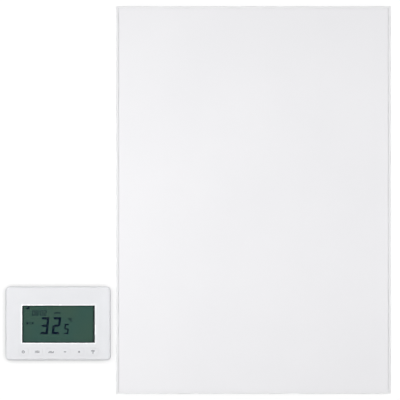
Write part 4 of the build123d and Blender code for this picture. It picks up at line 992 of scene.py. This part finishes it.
@dataclass
class Display:
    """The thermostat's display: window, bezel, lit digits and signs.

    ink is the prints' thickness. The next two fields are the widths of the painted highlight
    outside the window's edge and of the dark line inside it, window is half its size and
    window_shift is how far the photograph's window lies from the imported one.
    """

    ink: float = 0.00004
    highlight_ring: float = 0.0013
    dark_rim: float = 0.0011
    dark_rim_depth: float = 0.0005
    window: Spot = (0.0560, 0.0287)
    window_shift: Spot = (0.00065, -0.0002)
    body: str = "thermostat"
    big: DigitSize = field(default_factory=lambda: DigitSize(0.0121, 0.0262, 0.0036, 0.0002))
    half: DigitSize = field(default_factory=lambda: DigitSize(0.0070, 0.0158, 0.0021, 0.0001))
    small: DigitSize = field(default_factory=lambda: DigitSize(0.0041, 0.0077, 0.0010, 0.0001))

    def build(self) -> None:
        """Dresses the stack and prints what the display shows."""
        dress(WINDOW, "display_lens")
        dress(BEZEL_PLASTIC, "display_bezel")
        dress(DISPLAY, "display_glass")
        dress(LIGHT_GUIDE, "light_guide")
        dress(BLACK_RUBBER, "contact_strips")
        # Painted highlight: a near-white line round the outside of the window's edge.
        highlight_ring = self.outline(self.highlight_ring, self.highlight_ring)
        self.keep("window_painted_highlight", [highlight_ring], PAINTED_HIGHLIGHT)
        # A dark ring just inside the window's edge, set back behind the housing's face.
        dark_rim = self.outline(0.0, self.dark_rim, self.dark_rim_depth)
        self.keep("window_dark_rim", [dark_rim], BEZEL_PLASTIC)
        press = Press(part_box("display_glass")[0].y, self.ink)
        self.keep("display_temperature", self.temperature(press), DISPLAY_INK)
        self.keep("display_clock", self.clock(press), DISPLAY_INK)
        self.keep("display_aerial", self.aerial(press), DISPLAY_INK)
        self.keep("display_signs", self.signs(press), DISPLAY_INK)

    def keep(self, name: str, parts: Marks, finish: Finish) -> None:
        """Joins what is printed and sets it on the thermostat.

        Args:
            name: the piece's name.
            parts: its strokes.
            finish: its ink.
        """
        piece = join_as(name, parts)
        piece.data.materials.clear()
        piece.data.materials.append(finish.material())
        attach(piece, self.body)
        log.info("%s rides on %s", name, self.body)

    def outline(self, reach: float, width: float, depth: float = 0.0) -> Piece:
        """A flat line round the window, in the plane of the housing's face.

        Args:
            reach: how far it goes outside the window.
            width: how wide it is.
            depth: how deep it goes behind the face.

        Returns:
            The line.
        """
        low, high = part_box("display_lens")
        line = Press(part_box("front_shell")[0].y + depth, self.ink + depth)
        ring = line.blank()
        bpy.ops.mesh.select_all(action="SELECT")
        half_width, half_height = (half + reach for half in self.window)
        bpy.ops.transform.resize(
            value=(2 * half_width, 1, 2 * half_height), center_override=(0, 0, 0)
        )
        x = (low.x + high.x) / 2 + self.window_shift[0]
        z = (low.z + high.z) / 2 + self.window_shift[1]
        bpy.ops.transform.translate(value=(x, 0, z))
        bpy.ops.mesh.inset(thickness=width, depth=0)
        bpy.ops.mesh.delete(type="FACE")
        thicken(line.height)
        return ring

    def temperature(self, press: Press) -> Marks:
        """The large reading and its half degree.

        Args:
            press: what prints it.

        Returns:
            The digits.
        """
        parts = self.big.place(press, Digit.THREE, PICTURE.spot(39.7, 334.4))
        parts += self.big.place(press, Digit.TWO, PICTURE.spot(51.5, 334.4))
        parts += self.half.place(press, Digit.FIVE, PICTURE.spot(63.6, 334.3))
        return parts

    def clock(self, press: Press) -> Marks:
        """The time of day.

        Args:
            press: what prints it.

        Returns:
            The digits and the colon.
        """
        parts = []
        for digit, across in (
            (Digit.ZERO, 31.8), (Digit.EIGHT, 35.2), (Digit.ZERO, 39.9), (Digit.TWO, 43.4),
        ):
            parts += self.small.place(press, digit, PICTURE.spot(across, 315.6))
        for down in (311.8, 314.2):
            parts.append(press.disc(PICTURE.spot(39.1, down), 0.0006))
        return parts

    def aerial(self, press: Press) -> Marks:
        """Four rising bars for the strength of the radio link.

        Args:
            press: what prints it.

        Returns:
            The bars.
        """
        return [
            press.bar(
                PICTURE.spot(26.1 + 0.9 * step, 308.9 - 0.36 * step),
                0.0013, 0.0012 * (step + 1), 0.0001,
            )
            for step in range(4)
        ]

    def signs(self, press: Press) -> Marks:
        """The degree ring with its letter, a mode bar and a room sign.

        Args:
            press: what prints it.

        Returns:
            The signs.
        """
        unit = [
            press.arc(PICTURE.spot(69.0, 318.9), 0.0009, 0.0007, 0, 360, 16),
            press.arc(PICTURE.spot(71.2, 320.0), 0.0020, 0.0010, 40, 280, 16),
        ]
        mode = [
            press.bar(PICTURE.spot(54.6 + 1.6 * step, 313.0), 0.0018, 0.0023, 0.0003)
            for step in range(4)
        ]
        room = [
            press.bar(PICTURE.spot(27.1, 323.4), 0.0026, 0.0034, 0.0002),
            press.bar(PICTURE.spot(29.8, 322.6), 0.0030, 0.0009, 0.0002),
            press.bar(PICTURE.spot(29.8, 324.2), 0.0030, 0.0009, 0.0002),
            press.bar(PICTURE.spot(32.5, 323.4), 0.0020, 0.0032, 0.0002),
        ]
        return unit + mode + room


@dataclass
class Keypad:
    """The six keys and the signs printed on them.

    line is the signs' line width, which fine, thin and bold multiply. soft is how much a
    bar's corners are cut.
    """

    ink: float = 0.00003
    line: float = 0.0009
    fine: float = 0.6
    thin: float = 0.8
    bold: float = 1.2
    soft: float = 0.0002

    def build(self) -> None:
        """Dresses the keys and prints one sign on each."""
        draws: dict[str, Callable[[Press, Spot], Marks]] = {
            "power": self.power,
            "levels": self.levels,
            "program": self.program,
            "minus": self.minus,
            "plus": self.plus,
            "wireless": self.wireless,
        }
        for name, draw in draws.items():
            key, body = f"key_{name}", f"{name}_button"
            dress(HOUSING_PLASTIC, key)
            low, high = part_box(key)
            middle = ((low.x + high.x) / 2, (low.z + high.z) / 2)
            sign = join_as(f"sign_{name}", draw(Press(low.y, self.ink), middle))
            sign.data.materials.clear()
            sign.data.materials.append(KEY_INK.material())
            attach(sign, body)
            log.info("%s rides on %s", sign.name, body)

    def power(self, press: Press, middle: Spot) -> Marks:
        """A ring open at the top, with a short bar in the gap.

        Args:
            press: what prints them.
            middle: the key's middle, X and Z.

        Returns:
            The sign's parts.
        """
        x, z = middle
        return [
            press.arc(middle, 0.0018, self.line, 120, 300),
            press.bar((x, z + 0.0014), self.line, 0.0020, self.soft),
        ]

    def levels(self, press: Press, middle: Spot) -> Marks:
        """Three sliders.

        Args:
            press: what prints them.
            middle: the key's middle, X and Z.

        Returns:
            The sign's parts.
        """
        x, z = middle
        parts = []
        for row, knob in ((-1, 0.0012), (0, -0.0014), (1, 0.0006)):
            height = z + row * 0.0013
            parts.append(press.bar((x, height), 0.0074, self.line * self.fine, self.soft))
            parts.append(press.bar((x + knob, height), 0.0012, 0.0011, self.soft))
        return parts

    def program(self, press: Press, middle: Spot) -> Marks:
        """Bars of a day's schedule over a base line.

        Args:
            press: what prints them.
            middle: the key's middle, X and Z.

        Returns:
            The sign's parts.
        """
        x, z = middle
        parts = [press.bar((x, z - 0.0015), 0.0082, self.line * self.fine, self.soft)]
        for place, tall in enumerate((0.0014, 0.0026, 0.0026, 0.0014, 0.0022)):
            across = x + (place - 2) * 0.0018
            parts.append(press.bar((across, z - 0.0011 + tall / 2), 0.0011, tall * 0.9, 0.0001))
        return parts

    def minus(self, press: Press, middle: Spot) -> Marks:
        """A short bar."""
        return [press.bar(middle, 0.0036, self.line * self.bold, self.soft)]

    def plus(self, press: Press, middle: Spot) -> Marks:
        """Two crossed bars.

        Args:
            press: what prints them.
            middle: the key's middle, X and Z.

        Returns:
            The sign's parts.
        """
        return [
            press.bar(middle, 0.0033, self.line * self.bold, self.soft),
            press.bar(middle, self.line * self.bold, 0.0033, self.soft),
        ]

    def wireless(self, press: Press, middle: Spot) -> Marks:
        """Three arcs over a dot.

        Args:
            press: what prints them.
            middle: the key's middle, X and Z.

        Returns:
            The sign's parts.
        """
        foot = (middle[0], middle[1] - 0.0021)
        parts = [press.disc(foot, 0.0007)]
        for reach in (0.0019, 0.0032, 0.0045):
            parts.append(press.arc(foot, reach, self.line * self.thin, 50, 80))
        return parts


@dataclass
class Thermostat:
    """The thermostat's housing and what it holds."""

    display: Display = field(default_factory=Display)
    keypad: Keypad = field(default_factory=Keypad)

    def build(self) -> None:
        """Dresses the housing and its boards, then the display and the keys."""
        dress(HOUSING_PLASTIC, "front_shell", "rear_shell", "battery_lid")
        dress(SCREW_ZINC, "housing_screws", "circuit_screws", "battery_contacts")
        dress(LAMINATE, "circuit_board")
        dress(BLACK_PLASTIC, "key_switches")
        dress(BARE_ALUMINIUM, "radio_module")
        dress(BLACK_RUBBER, "temperature_sensor")
        dress(CELL_SLEEVE, "battery_cells")
        self.display.build()
        self.keypad.build()


@dataclass(frozen=True)
class Lamp:
    """One soft lamp."""

    name: str
    place: tuple[float, float, float]
    aim: tuple[float, float, float]
    size: float
    power: float

    def hang(self) -> None:
        """Hangs the lamp, turned to its aim."""
        data = bpy.data.lights.new(self.name, "AREA")
        data.size = self.size
        data.energy = self.power
        lamp = bpy.data.objects.new(self.name, data)
        bpy.context.scene.collection.objects.link(lamp)
        lamp.location = self.place
        way = Vector(self.aim) - Vector(self.place)
        lamp.rotation_euler = way.to_track_quat("-Z", "Y").to_euler()
        lamp.visible_camera = False


@dataclass
class Studio:
    """Wall, floor, lamps, sky and camera.

    halo is how far the wall's shade reaches. It has halo_depth at each end of halo_span,
    along X, and fades in over halo_start, along Z. The floor glows by floor_glow over
    floor_reach, and the sky by ambient or mirrored from below to above.
    """

    reach: float = 4.0
    floor_height: float = -0.45
    halo: float = 0.0095
    halo_samples: int = 16
    halo_depth: tuple[float, float] = (0.70, 0.42)
    halo_span: tuple[float, float] = (-0.240, -0.222)
    halo_start: tuple[float, float] = (-0.43, -0.41)
    floor_glow: tuple[float, float] = (0.35, 1.0)
    floor_reach: tuple[float, float] = (0.5, 1.5)
    ambient: tuple[float, float] = (0.284, 0.302)
    mirrored: tuple[float, float] = (0.6, 1.0)
    lens: float = 1000.0
    sensor: float = 36.0
    wall_gap: float = 0.0003
    wall_paint: float = 0.15
    wall_glow: float = 0.92
    floor_paint: float = 0.80
    sky_tint: Colour = (0.97, 0.98, 1.0)
    lamps: tuple[Lamp, ...] = (
        Lamp("key_lamp", (-0.70, -1.04, -0.02), (-0.20, -0.04, 0.0), 0.4, 4.9),
        Lamp("left_lamp", (-1.4, -2.4, -0.1), (-0.1, -0.04, 0.0), 1.0, 7.6),
        Lamp("right_lamp", (0.72, -1.6, -0.01), (0.0, -0.04, 0.0), 0.55, 9.7),
        Lamp("top_lamp", (-0.1, -1.4, 1.8), (-0.1, -0.04, 0.0), 1.2, 2.3),
        Lamp("rear_left_lamp", (-1.4, 2.0, 0.7), (-0.1, 0.0, 0.0), 1.2, 20.0),
        Lamp("rear_right_lamp", (1.3, 2.0, 0.7), (-0.1, 0.0, 0.0), 1.2, 20.0),
    )

    def build(self) -> None:
        """Sets up the studio."""
        self.sky()
        self.wall()
        self.floor()
        for lamp in self.lamps:
            lamp.hang()
        self.camera()
        bpy.context.scene.view_settings.view_transform = "Standard"

    def sky(self) -> None:
        """A soft sky, brighter above, that is plain white where it is seen."""
        world = bpy.data.worlds.new("sky")
        bpy.context.scene.world = world
        world.use_nodes = True
        bench = Bench(world.node_tree)
        path = bench.add("LightPath")
        seen = bench.calc(
            path.outputs["Is Camera Ray"], path.outputs["Is Transmission Ray"], "MAXIMUM"
        )
        way = bench.add("TexCoord").outputs["Generated"]
        height = bench.add("SeparateXYZ", {0: way}).outputs[2]
        soft = bench.spread(height, *self.ambient, -1.0, 1.0)
        mirrored = bench.spread(height, *self.mirrored, -1.0, 0.2)
        glossy = bench.add(
            "Mix", {0: path.outputs["Is Glossy Ray"], 2: soft, 3: mirrored}
        ).outputs[0]
        strength = bench.add("Mix", {0: seen, 2: glossy, 3: 1.0}).outputs[0]
        tint = bench.blend(seen, self.sky_tint, WHITE[:3])
        mixed = bench.add("Background", {"Color": tint, "Strength": strength})
        bench.add("OutputWorld", {"Surface": mixed.outputs[0]})

    def sheet(self, name: str, place: Vector, turn: tuple[float, float, float]) -> Piece:
        """A large flat sheet of the studio.

        Args:
            name: its name.
            place: its middle.
            turn: its turn about each axis.

        Returns:
            The sheet.
        """
        start_clean()
        bpy.ops.mesh.primitive_plane_add(size=2 * self.reach, location=place, rotation=turn)
        bpy.ops.object.transform_apply(location=True, rotation=True, scale=True)
        piece = bpy.context.object
        piece.name = name
        return piece

    def one_sided(self, bench: Bench, surface: Socket) -> None:
        """Shows a surface on a sheet's front only, so that the object is seen from behind it.

        Args:
            bench: the sheet's material.
            surface: what the front shows.
        """
        behind = bench.add("NewGeometry").outputs["Backfacing"]
        clear = bench.add("BsdfTransparent").outputs[0]
        mixed = bench.add("MixShader", {0: behind, 1: surface, 2: clear})
        bench.add("OutputMaterial", {"Surface": mixed.outputs[0]})

    def wall(self) -> None:
        """The wall, seen from the room only, with the narrow shade of what lies on it."""
        wall = self.sheet("wall", Vector((0, self.wall_gap, 0)), (math.pi / 2, 0, 0))
        wall.visible_diffuse = False
        wall.visible_shadow = False
        material = bpy.data.materials.new("studio_wall")
        material.use_nodes = True
        bench = Bench(material.node_tree)
        open_sky = bench.add(
            "AmbientOcclusion", {"Distance": self.halo}, samples=self.halo_samples
        ).outputs["AO"]
        x, _, z = bench.add("SeparateXYZ", {0: bench.add("TexCoord").outputs["Object"]}).outputs
        above = bench.spread(z, 0.0, 1.0, *self.halo_start)
        depth = bench.calc(bench.spread(x, *self.halo_depth, *self.halo_span), above, "MULTIPLY")
        hidden = bench.calc(bench.calc(1.0, open_sky, "SUBTRACT"), depth, "MULTIPLY")
        shade = bench.calc(1.0, hidden, "SUBTRACT")
        paint = bench.add("BsdfDiffuse", {"Color": (*[self.wall_paint] * 3, 1.0)})
        glow = bench.add("Emission", {"Color": WHITE, "Strength": self.wall_glow})
        both = bench.add("AddShader", {0: paint.outputs[0], 1: glow.outputs[0]})
        dark = bench.add("Emission", {"Color": BLACK, "Strength": 1.0})
        lit = bench.add("MixShader", {0: shade, 1: dark.outputs[0], 2: both.outputs[0]})
        self.one_sided(bench, lit.outputs[0])
        wall.data.materials.append(material)

    def floor(self) -> None:
        """The pale floor below the object."""
        floor = self.sheet("floor", Vector((0, 0, self.floor_height)), (0, 0, 0))
        floor.visible_diffuse = False
        material = bpy.data.materials.new("studio_floor")
        material.use_nodes = True
        bench = Bench(material.node_tree)
        path = bench.add("LightPath")
        seen = bench.calc(path.outputs["Is Camera Ray"], path.outputs["Is Glossy Ray"], "MAXIMUM")
        seen = bench.calc(seen, path.outputs["Is Transmission Ray"], "MAXIMUM")
        paint = bench.add("BsdfDiffuse", {"Color": (*[self.floor_paint] * 3, 1.0)})
        place = bench.add("TexCoord").outputs["Object"]
        away = bench.add("VectorMath", {0: place}, operation="LENGTH").outputs["Value"]
        rise = bench.spread(away, *self.floor_glow, *self.floor_reach)
        strength = bench.calc(seen, rise, "MULTIPLY")
        glow = bench.add("Emission", {"Color": WHITE, "Strength": strength})
        both = bench.add("AddShader", {0: paint.outputs[0], 1: glow.outputs[0]})
        self.one_sided(bench, both.outputs[0])
        floor.data.materials.append(material)

    def camera(self) -> None:
        """The camera, square on to the panel with a long lens."""
        data = bpy.data.cameras.new("camera")
        data.lens = self.lens
        data.sensor_width = self.sensor
        view_width = 2 * PICTURE.middle * PICTURE.pixel
        distance = view_width * self.lens / self.sensor
        data.clip_end = 10 * distance
        camera = bpy.data.objects.new("camera", data)
        bpy.context.scene.collection.objects.link(camera)
        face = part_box("front_plate")[0].y
        camera.location = (PICTURE.centre[0], face - distance, PICTURE.centre[1])
        camera.rotation_euler = (math.pi / 2, 0, 0)
        bpy.context.scene.camera = camera


def main() -> None:
    """Builds the sub-assemblies in order, then the studio."""
    logging.basicConfig(level=logging.INFO, format="%(message)s")
    start_clean()
    for part in (WallFixings(), Panel(), TerminalBox(), Thermostat(), Studio()):
        part.build()
        log.info("%s is ready", type(part).__name__)


if __name__ == "__main__":
    main()
